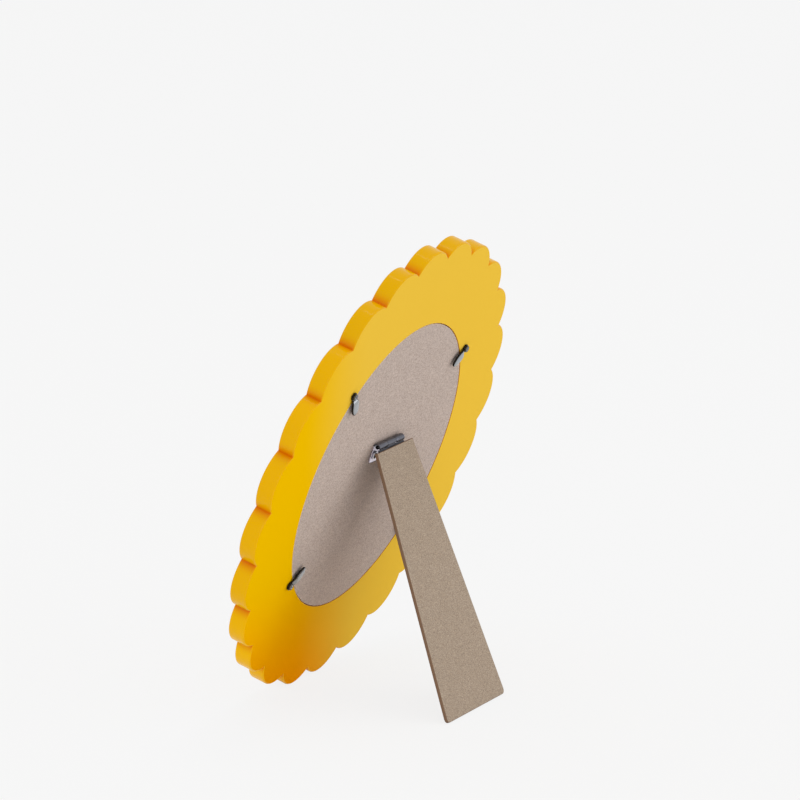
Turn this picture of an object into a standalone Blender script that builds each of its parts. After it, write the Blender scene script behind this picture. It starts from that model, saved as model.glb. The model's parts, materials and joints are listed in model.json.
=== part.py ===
"""Round scalloped picture frame that stands on a hinged easel leg.

Every piece is modelled in the picture's own plane, which one empty leans back on the floor:
x runs to the right as seen from behind, y up the frame and z out of its back, with zero in the
middle of the back face.  The leg and its leaf hang from a second empty on the hinge's axis, where
-y runs down the leg and +z faces away from the frame.  All sizes are in metres.
"""

import math

import bmesh
import bpy
from mathutils import Vector

# Frame body
LOBE_COUNT = 24
LOBE_DEPTH = 0.0065
RAIL_WIDTH = 0.0457
EDGE_ROUND = 0.0009
REBATE_RADIUS = 0.0803
REBATE_EASE = 0.0006
LIP_WIDTH = 0.0050
LIP_THICKNESS = 0.0040
LIP_EASE = 0.0010

# Sheets in the rebate, from the lip to the back
GLAZING_THICKNESS = 0.0020
CARD_THICKNESS = 0.0004
BOARD_THICKNESS = 0.0022
BOARD_RECESS = 0.0002
SHEET_GAP = 0.00015
SHEET_PLAY = 0.0004

# Strut hinge
HINGE_HEIGHT = 0.0144
HINGE_WIDTH = 0.0285
LEAF_SHEET = 0.0007
KNUCKLE_RADIUS = 0.0020
KNUCKLE_GAP = 0.0003
PIN_CLEARANCE = 0.0003
PIN_INSET = 0.0003
FIXED_LEAF_LENGTH = 0.0096
MOVING_LEAF_LENGTH = 0.0105
LEAF_CORNER = 0.0012
PLATE_RISE = 0.00015
STOP_GAP = 0.0002

# Eyelets through the fixed leaf and the board
EYELET_INSET = 0.0034
EYELET_DROP = 0.0056
EYELET_BORE = 0.0014
EYELET_WALL = 0.0003
EYELET_FLANGE = 0.0024
EYELET_RIM = 0.0005

# Blind rivets that hold the moving leaf under the leg
RIVET_SPREAD = 0.0052
RIVET_DROP = 0.0068
RIVET_SHANK = 0.0010
RIVET_HEAD = 0.0020
RIVET_HEAD_HEIGHT = 0.0005
RIVET_BITE = 0.0011

# Easel leg
LEG_OPEN = math.radians(39.1)
LEG_LENGTH = 0.1416
LEG_TOP_WIDTH = 0.0410
LEG_FOOT_WIDTH = 0.0682
LEG_TOP_GAP = 0.0005
LEG_THICKNESS = 0.0018
LEG_CORNER = 0.0025
LEG_EDGE = 0.0003

# Turn buttons and their screws
SCREW_SETBACK = 0.0042
SCREW_ANGLE = math.radians(40)
BUTTON_LENGTH = 0.0134
BUTTON_EYE = 0.0023
BUTTON_NECK = 0.0013
BUTTON_WIDTH = 0.0058
BUTTON_SHEET = 0.0010
BUTTON_CRANK = 0.0007
BUTTON_CROWN = 0.0005
SCREW_SHANK = 0.0009
SCREW_HEAD = 0.0018
SCREW_HEAD_HEIGHT = 0.0009
SCREW_BITE = 0.0055
SCREW_POINT = 0.0014

# Clearances that all seats share
SEAT_GAP = 0.0003
FACE_GAP = 0.0002
CUT_MARGIN = 0.001

# Facets
LOBE_POINTS = 10
DISC_SIDES = 96
SMALL_SIDES = 24
ROLL_POINTS = 22
WELD = 1e-7

# Where each screw sits, as signs of x and y, and the way its leaf points in the picture's plane
BUTTON_PLACES = {
    "upper_right": (1, 1, math.radians(-146.5)),
    "upper_left": (-1, 1, math.radians(-58.0)),
    "lower_left": (-1, -1, math.radians(40.5)),
    "lower_right": (1, -1, math.radians(140.0)),
}

# Radii about the middle of the frame, worked out from the sizes above
PEAK_RADIUS = REBATE_RADIUS + RAIL_WIDTH
VALLEY_RADIUS = PEAK_RADIUS - LOBE_DEPTH
OPENING_RADIUS = REBATE_RADIUS - LIP_WIDTH
SHEET_RADIUS = REBATE_RADIUS - SHEET_PLAY
SCREW_CIRCLE = REBATE_RADIUS + SCREW_SETBACK

# Levels along z, worked out from the sizes above
BOARD_BACK = -BOARD_RECESS
BOARD_FRONT = BOARD_BACK - BOARD_THICKNESS
CARD_BACK = BOARD_FRONT - SHEET_GAP
CARD_FRONT = CARD_BACK - CARD_THICKNESS
GLAZING_BACK = CARD_FRONT - SHEET_GAP
GLAZING_FRONT = GLAZING_BACK - GLAZING_THICKNESS
REBATE_FLOOR = GLAZING_FRONT - SHEET_GAP
FRAME_FRONT = REBATE_FLOOR - LIP_THICKNESS

# Hinge sizes, worked out from the sizes above
KNUCKLE_BORE = KNUCKLE_RADIUS - LEAF_SHEET
PIN_RADIUS = KNUCKLE_BORE - PIN_CLEARANCE
HINGE_OUT = BOARD_BACK + FACE_GAP + KNUCKLE_RADIUS
KNUCKLE_WIDTH = (HINGE_WIDTH - 2 * KNUCKLE_GAP) / 3
KNUCKLE_REACH = KNUCKLE_RADIUS + KNUCKLE_GAP
PLATE_HIGH = PLATE_RISE + LEAF_SHEET
SHOULDER = PIN_RADIUS + PIN_CLEARANCE + FACE_GAP
LEG_INNER = PLATE_HIGH + FACE_GAP
LEG_OUTER = LEG_INNER + LEG_THICKNESS
LEG_TOP = math.sqrt(KNUCKLE_REACH ** 2 - LEG_INNER ** 2) + LEG_TOP_GAP
LEG_FOOT = LEG_TOP + LEG_LENGTH


# Scene helpers

def clear_scene():
    """Remove what the file holds, so that only this model is left."""
    for obj in list(bpy.data.objects):
        bpy.data.objects.remove(obj)


def new_collection(name):
    """Add a collection to the scene."""
    collection = bpy.data.collections.new(name)
    bpy.context.scene.collection.children.link(collection)
    return collection


def new_material(name, colour, roughness, metallic=0.0, alpha=1.0):
    """Principled material with one colour."""
    material = bpy.data.materials.new(name)
    material.use_nodes = True
    shader = material.node_tree.nodes["Principled BSDF"]
    shader.inputs["Base Color"].default_value = (*colour, 1.0)
    shader.inputs["Roughness"].default_value = roughness
    shader.inputs["Metallic"].default_value = metallic
    shader.inputs["Alpha"].default_value = alpha
    material.diffuse_color = (*colour, alpha)
    return material


def new_empty(name, parent=None, location=(0, 0, 0), rotation=(0, 0, 0)):
    """Empty that carries pieces."""
    empty = bpy.data.objects.new(name, None)
    empty.location = location
    empty.rotation_euler = rotation
    empty.parent = parent
    PARTS.objects.link(empty)
    return empty


def add_part(obj, parent, material, location=(0, 0, 0), rotation=(0, 0, 0)):
    """Place a finished piece under its parent and give it its material."""
    obj.parent = parent
    obj.location = location
    obj.rotation_euler = rotation
    obj.data.materials.clear()
    obj.data.materials.append(material)
    obj.data.shade_smooth()
    obj.data.set_sharp_from_angle(angle=math.radians(35))
    PARTS.objects.link(obj)


def cut(target, cutter, parent, location=(0, 0, 0), rotation=(0, 0, 0)):
    """Take the cutter's shape out of the target with a Boolean modifier."""
    cutter.parent = parent
    cutter.location = location
    cutter.rotation_euler = rotation
    cutter.hide_render = True
    cutter.display_type = "WIRE"
    CUTTERS.objects.link(cutter)
    boolean = target.modifiers.new(cutter.name, "BOOLEAN")
    boolean.operation = "DIFFERENCE"
    boolean.solver = "EXACT"
    boolean.object = cutter


# Shape helpers

def polar(radius, angle):
    """Point at a radius and an angle."""
    return (radius * math.cos(angle), radius * math.sin(angle))


def arc(centre, radius, start, end, count):
    """Points along an arc, both ends included."""
    angles = [start + (end - start) * i / count for i in range(count + 1)]
    turned_points = [polar(radius, angle) for angle in angles]
    return [(centre[0] + x, centre[1] + y) for x, y in turned_points]


def plate(name, outline, low, high):
    """Flat solid inside a closed outline, from z = low to z = high, with one face on each side."""
    curve = bpy.data.curves.new(name, "CURVE")
    curve.dimensions = "2D"
    curve.fill_mode = "BOTH"
    curve.extrude = (high - low) / 2
    spline = curve.splines.new("POLY")
    spline.points.add(len(outline) - 1)
    for point, (x, y) in zip(spline.points, outline):
        point.co = (x, y, 0, 1)
    spline.use_cyclic_u = True
    drawn = bpy.data.objects.new(name, curve)
    bpy.context.scene.collection.objects.link(drawn)
    evaluated = drawn.evaluated_get(bpy.context.evaluated_depsgraph_get())
    mesh = bpy.data.meshes.new_from_object(evaluated)
    bpy.data.objects.remove(drawn)
    shape = bmesh.new()
    shape.from_mesh(mesh)
    bmesh.ops.remove_doubles(shape, verts=shape.verts, dist=WELD)
    bmesh.ops.recalc_face_normals(shape, faces=shape.faces)
    for side in (1, -1):
        cap = [face for face in shape.faces if face.normal.z * side > 0.5]
        bmesh.ops.dissolve_faces(shape, faces=cap)
    bmesh.ops.translate(shape, verts=shape.verts, vec=(0, 0, (low + high) / 2))
    shape.to_mesh(mesh)
    shape.free()
    return bpy.data.objects.new(name, mesh)


def cylinder(name, radius, low, high, sides=SMALL_SIDES):
    """Round bar or disc about z."""
    shape = bmesh.new()
    bmesh.ops.create_cone(shape, cap_ends=True, segments=sides, radius1=radius, radius2=radius,
                          depth=high - low)
    bmesh.ops.translate(shape, verts=shape.verts, vec=(0, 0, (low + high) / 2))
    mesh = bpy.data.meshes.new(name)
    shape.to_mesh(mesh)
    shape.free()
    return bpy.data.objects.new(name, mesh)


def block(name, low, high):
    """Box between two corners."""
    shape = bmesh.new()
    bmesh.ops.create_cube(shape, size=1)
    size = [b - a for a, b in zip(low, high)]
    middle = [(a + b) / 2 for a, b in zip(low, high)]
    bmesh.ops.scale(shape, verts=shape.verts, vec=size)
    bmesh.ops.translate(shape, verts=shape.verts, vec=middle)
    mesh = bpy.data.meshes.new(name)
    shape.to_mesh(mesh)
    shape.free()
    return bpy.data.objects.new(name, mesh)


def turned(name, profile, sides=SMALL_SIDES, closed=False):
    """Solid turned about z from (radius, z) points that run down its outer side."""
    edges = [(i, i + 1) for i in range(len(profile) - 1)]
    if closed:
        edges.append((len(profile) - 1, 0))
    mesh = bpy.data.meshes.new(name)
    mesh.from_pydata([(radius, 0, z) for radius, z in profile], edges, [])
    obj = bpy.data.objects.new(name, mesh)
    screw = obj.modifiers.new("turn", "SCREW")
    screw.axis = "Z"
    screw.steps = sides
    screw.render_steps = sides
    screw.use_merge_vertices = True
    screw.merge_threshold = WELD
    return obj


def bevel_edges(obj, width, segments, wanted):
    """Round the edges that wanted(edge) picks, with a Bevel modifier."""
    shape = bmesh.new()
    shape.from_mesh(obj.data)
    weights = shape.edges.layers.float.new("bevel_weight_edge")
    for edge in shape.edges:
        edge[weights] = 1.0 if wanted(edge) else 0.0
    shape.to_mesh(obj.data)
    shape.free()
    bevel = obj.modifiers.new("rounded", "BEVEL")
    bevel.limit_method = "WEIGHT"
    bevel.width = width
    bevel.segments = segments
    bevel.use_clamp_overlap = False


def is_rim(edge):
    """True for an edge between a flat face and a side wall."""
    flat = [abs(face.normal.z) > 0.5 for face in edge.link_faces]
    return flat[0] != flat[1]


# Frame body

def lobe_shape():
    """Radius of a lobe's arc, distance of its centre and half the angle that it spans."""
    half_pitch = math.pi / LOBE_COUNT
    half_chord = VALLEY_RADIUS * math.sin(half_pitch)
    chord_out = VALLEY_RADIUS * math.cos(half_pitch)
    rise = PEAK_RADIUS - chord_out
    radius = (half_chord ** 2 + rise ** 2) / (2 * rise)
    centre_out = PEAK_RADIUS - radius
    half_span = math.atan2(half_chord, chord_out - centre_out)
    return radius, centre_out, half_span


def scalloped_outline():
    """Lobes side by side round the frame, with a valley at the foot, the top and both sides."""
    radius, centre_out, half_span = lobe_shape()
    outline = []
    for lobe in range(LOBE_COUNT):
        facing = (lobe + 0.5) * 2 * math.pi / LOBE_COUNT
        centre = polar(centre_out, facing)
        outline += arc(centre, radius, facing - half_span, facing + half_span, LOBE_POINTS)[:-1]
    return outline


def opening_profile():
    """Outer side of the tool that cuts the rebate, the lip and their eased rims, top down."""
    rebate_flare = arc((REBATE_RADIUS + REBATE_EASE, -REBATE_EASE), REBATE_EASE,
                       math.pi / 2, math.pi, 3)
    lip_flare = arc((OPENING_RADIUS + LIP_EASE, FRAME_FRONT + LIP_EASE), LIP_EASE,
                    math.pi, 1.5 * math.pi, 3)
    top = (REBATE_RADIUS + REBATE_EASE, CUT_MARGIN)
    bottom = (OPENING_RADIUS + LIP_EASE, FRAME_FRONT - CUT_MARGIN)
    floor = [(REBATE_RADIUS, REBATE_FLOOR), (OPENING_RADIUS, REBATE_FLOOR)]
    return [(0, CUT_MARGIN), top, *rebate_flare, *floor, *lip_flare, bottom,
            (0, FRAME_FRONT - CUT_MARGIN)]


def build_frame_body(plane, lacquer):
    """Scalloped ring with rounded edges, a rebated opening and pilot holes for the screws."""
    body = plate("frame_body", scalloped_outline(), FRAME_FRONT, 0)
    bevel_edges(body, EDGE_ROUND, 3, is_rim)
    add_part(body, plane, lacquer)
    cut(body, turned("opening_tool", opening_profile(), DISC_SIDES), plane)
    for place in BUTTON_PLACES:
        pilot = cylinder("pilot_" + place, SCREW_SHANK + SEAT_GAP, -SCREW_BITE - SEAT_GAP, CUT_MARGIN)
        cut(body, pilot, plane, screw_location(place))


# Sheets in the rebate

def build_sheets(plane, clear, card_stock, board_stock):
    """Glazing, picture card and backing board, each a disc in the rebate."""
    glazing = cylinder("glazing", SHEET_RADIUS, GLAZING_FRONT, GLAZING_BACK, DISC_SIDES)
    add_part(glazing, plane, clear)
    card = cylinder("picture_card", SHEET_RADIUS, CARD_FRONT, CARD_BACK, DISC_SIDES)
    add_part(card, plane, card_stock)
    board = cylinder("backing_board", SHEET_RADIUS, BOARD_FRONT, BOARD_BACK, DISC_SIDES)
    add_part(board, plane, board_stock)
    for side in (-1, 1):
        tool = turned(f"board_eyelet_tool_{side + 1}", eyelet_hole_profile())
        cut(board, tool, plane, eyelet_location(side))


# Strut hinge

def rolled_leaf_outline(low, high, free_end, length):
    """Side view of a leaf: a plate along -x whose sheet rolls round the pin.

    Angles run from -x towards +y.  The sheet leaves the plate between the levels low and high,
    goes round the pin past the board and the top, and ends at the angle free_end.
    """
    outer_start = math.asin(low / KNUCKLE_RADIUS)
    inner_start = math.asin(high / KNUCKLE_BORE)
    last = free_end - 2 * math.pi
    outer = arc((0, 0), KNUCKLE_RADIUS, math.pi - outer_start, math.pi - last, ROLL_POINTS)
    inner = arc((0, 0), KNUCKLE_BORE, math.pi - last, math.pi - inner_start, ROLL_POINTS)
    return [(-length, low), *outer, *inner, (-length, high)]


def leaf_from_outline(name, outline):
    """Leaf as wide as the hinge, with its two free corners rounded."""
    leaf = plate(name, outline, -HINGE_WIDTH / 2, HINGE_WIDTH / 2)
    tip = min(x for x, y in outline)

    def is_corner(edge):
        """True for the short edges at the ends of the plate's free edge."""
        a, b = (vertex.co for vertex in edge.verts)
        return abs(a.x - tip) < WELD and abs(b.x - tip) < WELD and abs(a.z - b.z) < WELD

    bevel_edges(leaf, LEAF_CORNER, 3, is_corner)
    return leaf


def build_fixed_leaf(hinge, steel):
    """Leaf flat on the board, rolled into the two outer knuckles.

    The free ends of its rolls are what the moving leaf's shoulders stop against.
    """
    shoulder_rise = math.asin(PLATE_HIGH / SHOULDER)
    free_end = LEG_OPEN + shoulder_rise + STOP_GAP / SHOULDER
    outline = rolled_leaf_outline(-KNUCKLE_RADIUS, -KNUCKLE_BORE, free_end, FIXED_LEAF_LENGTH)
    leaf = leaf_from_outline("hinge_fixed_leaf", outline)
    add_part(leaf, hinge, steel, rotation=(math.pi / 2, 0, math.pi / 2))
    half = KNUCKLE_WIDTH / 2 + KNUCKLE_GAP
    reach = KNUCKLE_RADIUS + CUT_MARGIN
    notch = block("middle_notch", (-half, -KNUCKLE_REACH, -reach), (half, reach, reach))
    cut(leaf, notch, hinge)
    for side in (-1, 1):
        tool = cylinder(f"leaf_eyelet_tool_{side + 1}", EYELET_BORE + EYELET_WALL + SEAT_GAP,
                        -reach, reach)
        cut(leaf, tool, hinge, (side * eyelet_side(), -EYELET_DROP, 0))


def build_moving_leaf(swing, steel):
    """Leaf under the leg, rolled into the middle knuckle, with a shoulder on each side of it."""
    free_end = math.asin(PLATE_HIGH / KNUCKLE_BORE) + FACE_GAP / KNUCKLE_BORE
    outline = rolled_leaf_outline(PLATE_RISE, PLATE_HIGH, free_end, MOVING_LEAF_LENGTH)
    leaf = leaf_from_outline("hinge_moving_leaf", outline)
    add_part(leaf, swing, steel, rotation=(math.pi / 2, 0, math.pi / 2))
    reach = KNUCKLE_RADIUS + CUT_MARGIN
    outer = HINGE_WIDTH / 2 + CUT_MARGIN
    # The side view of what goes: the whole roll, but not the shoulder that the plate ends in.
    edge = -KNUCKLE_REACH
    waste = [(edge, -reach), (edge, PLATE_RISE), (-SHOULDER, PLATE_RISE), (-SHOULDER, PLATE_HIGH),
             (edge, PLATE_HIGH), (edge, reach), (reach, reach), (reach, -reach)]
    for side in (-1, 1):
        near, far = sorted((side * KNUCKLE_WIDTH / 2, side * outer))
        notch = plate(f"outer_notch_{side + 1}", waste, near, far)
        cut(leaf, notch, swing, rotation=(math.pi / 2, 0, math.pi / 2))
        tool = cylinder(f"leaf_rivet_tool_{side + 1}", RIVET_SHANK + SEAT_GAP, -reach, reach)
        cut(leaf, tool, swing, rivet_location(side))


def build_pin(hinge, steel):
    """Pin through the knuckles, set in a little at each end."""
    half = HINGE_WIDTH / 2 - PIN_INSET
    pin = cylinder("hinge_pin", PIN_RADIUS, -half, half)
    add_part(pin, hinge, steel, rotation=(0, math.pi / 2, 0))


def eyelet_side():
    """Distance of an eyelet from the middle of the hinge."""
    return HINGE_WIDTH / 2 - EYELET_INSET


def eyelet_location(side):
    """Centre of an eyelet in the picture's plane."""
    return (side * eyelet_side(), HINGE_HEIGHT - EYELET_DROP, 0)


def eyelet_hole_profile():
    """Tool for the hole in the board, wider at the front where the eyelet is clinched."""
    hole = EYELET_BORE + EYELET_WALL + SEAT_GAP
    clinch = EYELET_FLANGE + SEAT_GAP
    floor = BOARD_FRONT + EYELET_RIM + FACE_GAP
    low = BOARD_FRONT - CUT_MARGIN
    return [(0, CUT_MARGIN), (hole, CUT_MARGIN), (hole, floor), (clinch, floor), (clinch, low), (0, low)]


def build_eyelets(plane, steel):
    """Tubular eyelets whose flanges clamp the fixed leaf to the board."""
    barrel = EYELET_BORE + EYELET_WALL
    leaf_top = BOARD_BACK + FACE_GAP + LEAF_SHEET
    top = leaf_top + FACE_GAP + EYELET_RIM
    under_top = leaf_top + FACE_GAP
    rim_drop = EYELET_RIM / 2
    profile = [
        (EYELET_BORE, top - rim_drop), (EYELET_BORE + EYELET_WALL / 2, top),
        (EYELET_FLANGE - rim_drop, top), (EYELET_FLANGE, top - rim_drop), (EYELET_FLANGE, under_top),
        (barrel, under_top), (barrel, BOARD_FRONT + EYELET_RIM), (EYELET_FLANGE, BOARD_FRONT + EYELET_RIM),
        (EYELET_FLANGE, BOARD_FRONT), (EYELET_BORE, BOARD_FRONT),
    ]
    for side, word in ((-1, "left"), (1, "right")):
        eyelet = turned("hinge_eyelet_" + word, profile, closed=True)
        add_part(eyelet, plane, steel, eyelet_location(side))


def rivet_location(side):
    """Centre of a rivet in the leg's frame."""
    return (side * RIVET_SPREAD, -RIVET_DROP, 0)


def build_rivets(swing, steel):
    """Rivets from under the moving leaf into the leg, which they don't go through."""
    under = PLATE_RISE - FACE_GAP
    low = under - RIVET_HEAD_HEIGHT
    profile = [
        (0, LEG_INNER + RIVET_BITE), (RIVET_SHANK, LEG_INNER + RIVET_BITE), (RIVET_SHANK, under),
        (RIVET_HEAD, under), (RIVET_HEAD * 0.92, under - RIVET_HEAD_HEIGHT * 0.5),
        (RIVET_HEAD * 0.6, low), (0, low),
    ]
    for side, word in ((-1, "left"), (1, "right")):
        rivet = turned("leg_rivet_" + word, profile)
        add_part(rivet, swing, steel, rivet_location(side))


# Easel leg

def leg_outline():
    """Tapered strut with a square top and rounded foot corners."""
    top, foot = LEG_TOP_WIDTH / 2, LEG_FOOT_WIDTH / 2
    taper = math.atan2(foot - top, LEG_LENGTH)
    # The corner's centre is one radius from the foot's edge and from the slanting side.
    edge_at_centre = foot - LEG_CORNER * math.tan(taper)
    centre_x = edge_at_centre - LEG_CORNER / math.cos(taper)
    centre_y = -LEG_FOOT + LEG_CORNER
    right = arc((centre_x, centre_y), LEG_CORNER, taper, -math.pi / 2, 5)
    left = [(-x, y) for x, y in reversed(right)]
    return [(top, -LEG_TOP), *right, *left, (-top, -LEG_TOP)]


def build_leg(swing, board_stock):
    """Leg with eased edges and blind holes for its rivets."""
    leg = plate("easel_leg", leg_outline(), LEG_INNER, LEG_OUTER)
    bevel_edges(leg, LEG_EDGE, 2, is_rim)
    add_part(leg, swing, board_stock)
    for side in (-1, 1):
        tool = cylinder(f"leg_rivet_tool_{side + 1}", RIVET_SHANK + SEAT_GAP, -CUT_MARGIN,
                        LEG_INNER + RIVET_BITE + FACE_GAP)
        cut(leg, tool, swing, rivet_location(side))


# Turn buttons

def screw_location(place):
    """Axis of a turn button's screw in the picture's plane."""
    side, rise, _ = BUTTON_PLACES[place]
    across, up = polar(SCREW_CIRCLE, SCREW_ANGLE)
    return (side * across, rise * up, 0)


def smooth_step(value):
    """Ease from 0 to 1."""
    clipped = min(max(value, 0.0), 1.0)
    return clipped * clipped * (3 - 2 * clipped)


def button_stations():
    """Places along a turn button, each with half its width: a round eye, a neck and a leaf."""
    neck_turn = math.pi - math.asin(BUTTON_NECK / BUTTON_EYE)
    eye = [(-BUTTON_EYE * math.cos(neck_turn * i / 8), BUTTON_EYE * math.sin(neck_turn * i / 8))
           for i in range(9)]
    leaf_start = eye[-1][0]
    leaf_length = BUTTON_LENGTH - leaf_start
    leaf = []
    for i in range(1, 13):
        turn = math.pi * i / 12
        along = leaf_start + leaf_length * (1 - math.cos(turn)) / 2
        leaf.append((along, math.hypot(BUTTON_WIDTH / 2 * math.sin(turn), BUTTON_NECK * math.cos(turn / 2))))
    return eye + leaf


def button_surface_height(along, across):
    """Height of a button's upper side: a flat eye, a crank and a crowned leaf.

    across is the share of the half width, from -1 to 1.
    """
    eye_top = SEAT_GAP + BUTTON_SHEET
    crank_start = SCREW_HEAD
    crank = smooth_step((along - crank_start) / (2 * BUTTON_SHEET))
    leaf_start = crank_start + BUTTON_SHEET
    leaf_run = BUTTON_LENGTH - leaf_start
    share = min(max((along - leaf_start) / leaf_run, 0.0), 1.0)
    rise = min(smooth_step(share * 4), smooth_step((1 - share) * 5))
    return eye_top + BUTTON_CRANK * crank + BUTTON_CROWN * rise * (1 - across ** 4)


def build_button_mesh():
    """Upper side of a button as a grid, which a Solidify modifier gives its thickness."""
    shares = [-1, -0.82, -0.5, 0, 0.5, 0.82, 1]
    shape = bmesh.new()
    rows = []
    for along, half in button_stations():
        row = [shape.verts.new((along, half * share, button_surface_height(along, share)))
               for share in shares]
        rows.append(row)
    for first, second in zip(rows, rows[1:]):
        for i in range(len(shares) - 1):
            shape.faces.new((first[i], second[i], second[i + 1], first[i + 1]))
    bmesh.ops.remove_doubles(shape, verts=shape.verts, dist=WELD)
    bmesh.ops.dissolve_degenerate(shape, edges=shape.edges, dist=WELD)
    mesh = bpy.data.meshes.new("turn_button")
    shape.to_mesh(mesh)
    shape.free()
    return mesh


def build_buttons(plane, steel):
    """Four turn buttons, each on an empty on its screw's axis, which is what it swivels about."""
    mesh = build_button_mesh()
    for place, (_, _, heading) in BUTTON_PLACES.items():
        pivot = new_empty("swivel_" + place, plane, screw_location(place), (0, 0, heading))
        button = bpy.data.objects.new("turn_button_" + place, mesh.copy())
        solidify = button.modifiers.new("sheet", "SOLIDIFY")
        solidify.thickness = BUTTON_SHEET
        solidify.offset = -1
        add_part(button, pivot, steel)
        tool = cylinder("button_hole_" + place, SCREW_SHANK + SEAT_GAP, -CUT_MARGIN,
                        SEAT_GAP + BUTTON_SHEET + CUT_MARGIN)
        cut(button, tool, pivot)


def screw_profile():
    """Pan-head screw from the middle of its head to its point."""
    under = SEAT_GAP + BUTTON_SHEET + FACE_GAP
    top = under + SCREW_HEAD_HEIGHT
    tip = -SCREW_BITE
    return [
        (0, top), (SCREW_HEAD * 0.45, top - SCREW_HEAD_HEIGHT * 0.06),
        (SCREW_HEAD * 0.8, top - SCREW_HEAD_HEIGHT * 0.28), (SCREW_HEAD, top - SCREW_HEAD_HEIGHT * 0.6),
        (SCREW_HEAD, under), (SCREW_SHANK, under), (SCREW_SHANK, tip + SCREW_POINT),
        (SCREW_SHANK * 0.15, tip), (0, tip),
    ]


def build_screws(plane, steel):
    """One screw through each turn button into the frame body."""
    for place in BUTTON_PLACES:
        screw = turned("button_screw_" + place, screw_profile())
        add_part(screw, plane, steel, screw_location(place))


# Stance

def lean_angle():
    """How far the frame leans back when its two foot lobes and the leg's foot share the floor.

    The floor touches the rounded rims of the two lobes beside the bottom valley, and the inner
    edge of the leg's foot.  With the lean b, both lie equally far down where
    drop_y cos b - drop_z sin b = -EDGE_ROUND.
    """
    radius, centre_out, _ = lobe_shape()
    foot_lobe = centre_out * math.cos(math.pi / LOBE_COUNT) + radius - EDGE_ROUND
    leg_down = LEG_FOOT * math.cos(LEG_OPEN) - LEG_INNER * math.sin(LEG_OPEN) - HINGE_HEIGHT
    leg_out = LEG_FOOT * math.sin(LEG_OPEN) + LEG_INNER * math.cos(LEG_OPEN) + HINGE_OUT
    drop_y = foot_lobe - leg_down
    drop_z = leg_out + EDGE_ROUND
    return math.acos(-EDGE_ROUND / math.hypot(drop_y, drop_z)) - math.atan2(drop_z, drop_y)


def stand_on_origin(plane):
    """Move the leaning assembly so that the middle of its bounding box's base is the origin."""
    bpy.context.view_layer.update()
    depsgraph = bpy.context.evaluated_depsgraph_get()
    points = []
    for obj in PARTS.objects:
        if obj.type == "MESH":
            evaluated = obj.evaluated_get(depsgraph)
            points += [evaluated.matrix_world @ vertex.co for vertex in evaluated.data.vertices]
    low = Vector([min(point[i] for point in points) for i in range(3)])
    high = Vector([max(point[i] for point in points) for i in range(3)])
    middle = (low + high) / 2
    plane.location -= Vector((middle.x, middle.y, low.z))


def build():
    """Build the whole frame."""
    lacquer = new_material("yellow_lacquer", (0.80, 0.50, 0.02), 0.22)
    board_stock = new_material("taupe_fibreboard", (0.46, 0.38, 0.33), 0.85)
    leg_stock = new_material("taupe_leg_board", (0.40, 0.32, 0.24), 0.85)
    card_stock = new_material("picture_card_stock", (0.88, 0.87, 0.84), 0.7)
    clear = new_material("clear_glazing", (0.95, 0.97, 0.96), 0.05, alpha=0.3)
    plated = new_material("plated_steel", (0.45, 0.45, 0.48), 0.3, metallic=1.0)
    dark = new_material("dark_steel", (0.16, 0.16, 0.17), 0.35, metallic=1.0)

    plane = new_empty("picture_plane", rotation=(math.pi / 2 + lean_angle(), 0, math.pi))
    hinge = new_empty("hinge_axis", plane, (0, HINGE_HEIGHT, HINGE_OUT))
    swing = new_empty("leg_swing", hinge, rotation=(-LEG_OPEN, 0, 0))

    build_frame_body(plane, lacquer)
    build_sheets(plane, clear, card_stock, board_stock)
    build_fixed_leaf(hinge, plated)
    build_moving_leaf(swing, plated)
    build_pin(hinge, dark)
    build_eyelets(plane, plated)
    build_rivets(swing, plated)
    build_leg(swing, leg_stock)
    build_buttons(plane, dark)
    build_screws(plane, dark)
    stand_on_origin(plane)


clear_scene()
PARTS = new_collection("scalloped_picture_frame")
CUTTERS = new_collection("cutters")
build()
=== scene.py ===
"""Looks of a round scalloped picture frame that stands on its hinged easel leg.

Every piece is worked out in the picture's own plane or in the leg's, as arrays of points, and is
then carried into the row frame by that plane's matrix.  In the picture's plane x runs to the right
as seen from behind, y up the frame and z out of its back, with zero in the middle of the back face.
In the leg's plane -y runs down the leg from the hinge's axis and +z faces away from the frame.
Sizes are in metres and repeat those of the solids.
"""

import json
import logging
import math
from dataclasses import dataclass, field
from enum import Enum
from typing import Any, Callable, Optional, Sequence

import bmesh
import bpy
import numpy as np
from mathutils import Matrix

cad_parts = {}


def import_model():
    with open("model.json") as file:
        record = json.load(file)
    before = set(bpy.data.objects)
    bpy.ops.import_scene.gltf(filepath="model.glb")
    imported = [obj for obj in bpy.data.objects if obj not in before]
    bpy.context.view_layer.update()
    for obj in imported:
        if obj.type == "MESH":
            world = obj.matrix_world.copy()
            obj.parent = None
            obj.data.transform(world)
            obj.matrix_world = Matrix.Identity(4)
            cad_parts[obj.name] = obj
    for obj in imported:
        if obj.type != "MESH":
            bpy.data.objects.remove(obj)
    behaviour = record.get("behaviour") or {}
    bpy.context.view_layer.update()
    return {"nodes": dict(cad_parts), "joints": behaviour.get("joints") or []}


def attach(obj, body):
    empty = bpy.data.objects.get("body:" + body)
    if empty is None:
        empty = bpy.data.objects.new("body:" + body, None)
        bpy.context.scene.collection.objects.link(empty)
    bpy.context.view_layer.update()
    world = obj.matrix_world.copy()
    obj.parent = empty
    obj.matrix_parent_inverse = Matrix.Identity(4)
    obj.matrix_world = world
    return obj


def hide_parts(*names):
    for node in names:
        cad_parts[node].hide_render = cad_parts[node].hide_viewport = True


LOG = logging.getLogger("picture_frame")
IMAGE_SIDE = 800
WELD = 1e-7
CREASE_DEGREES = 30.0

Array = np.ndarray


class Side(Enum):
    """The two sides of the frame, as seen from behind."""

    LEFT = -1
    RIGHT = 1


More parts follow.
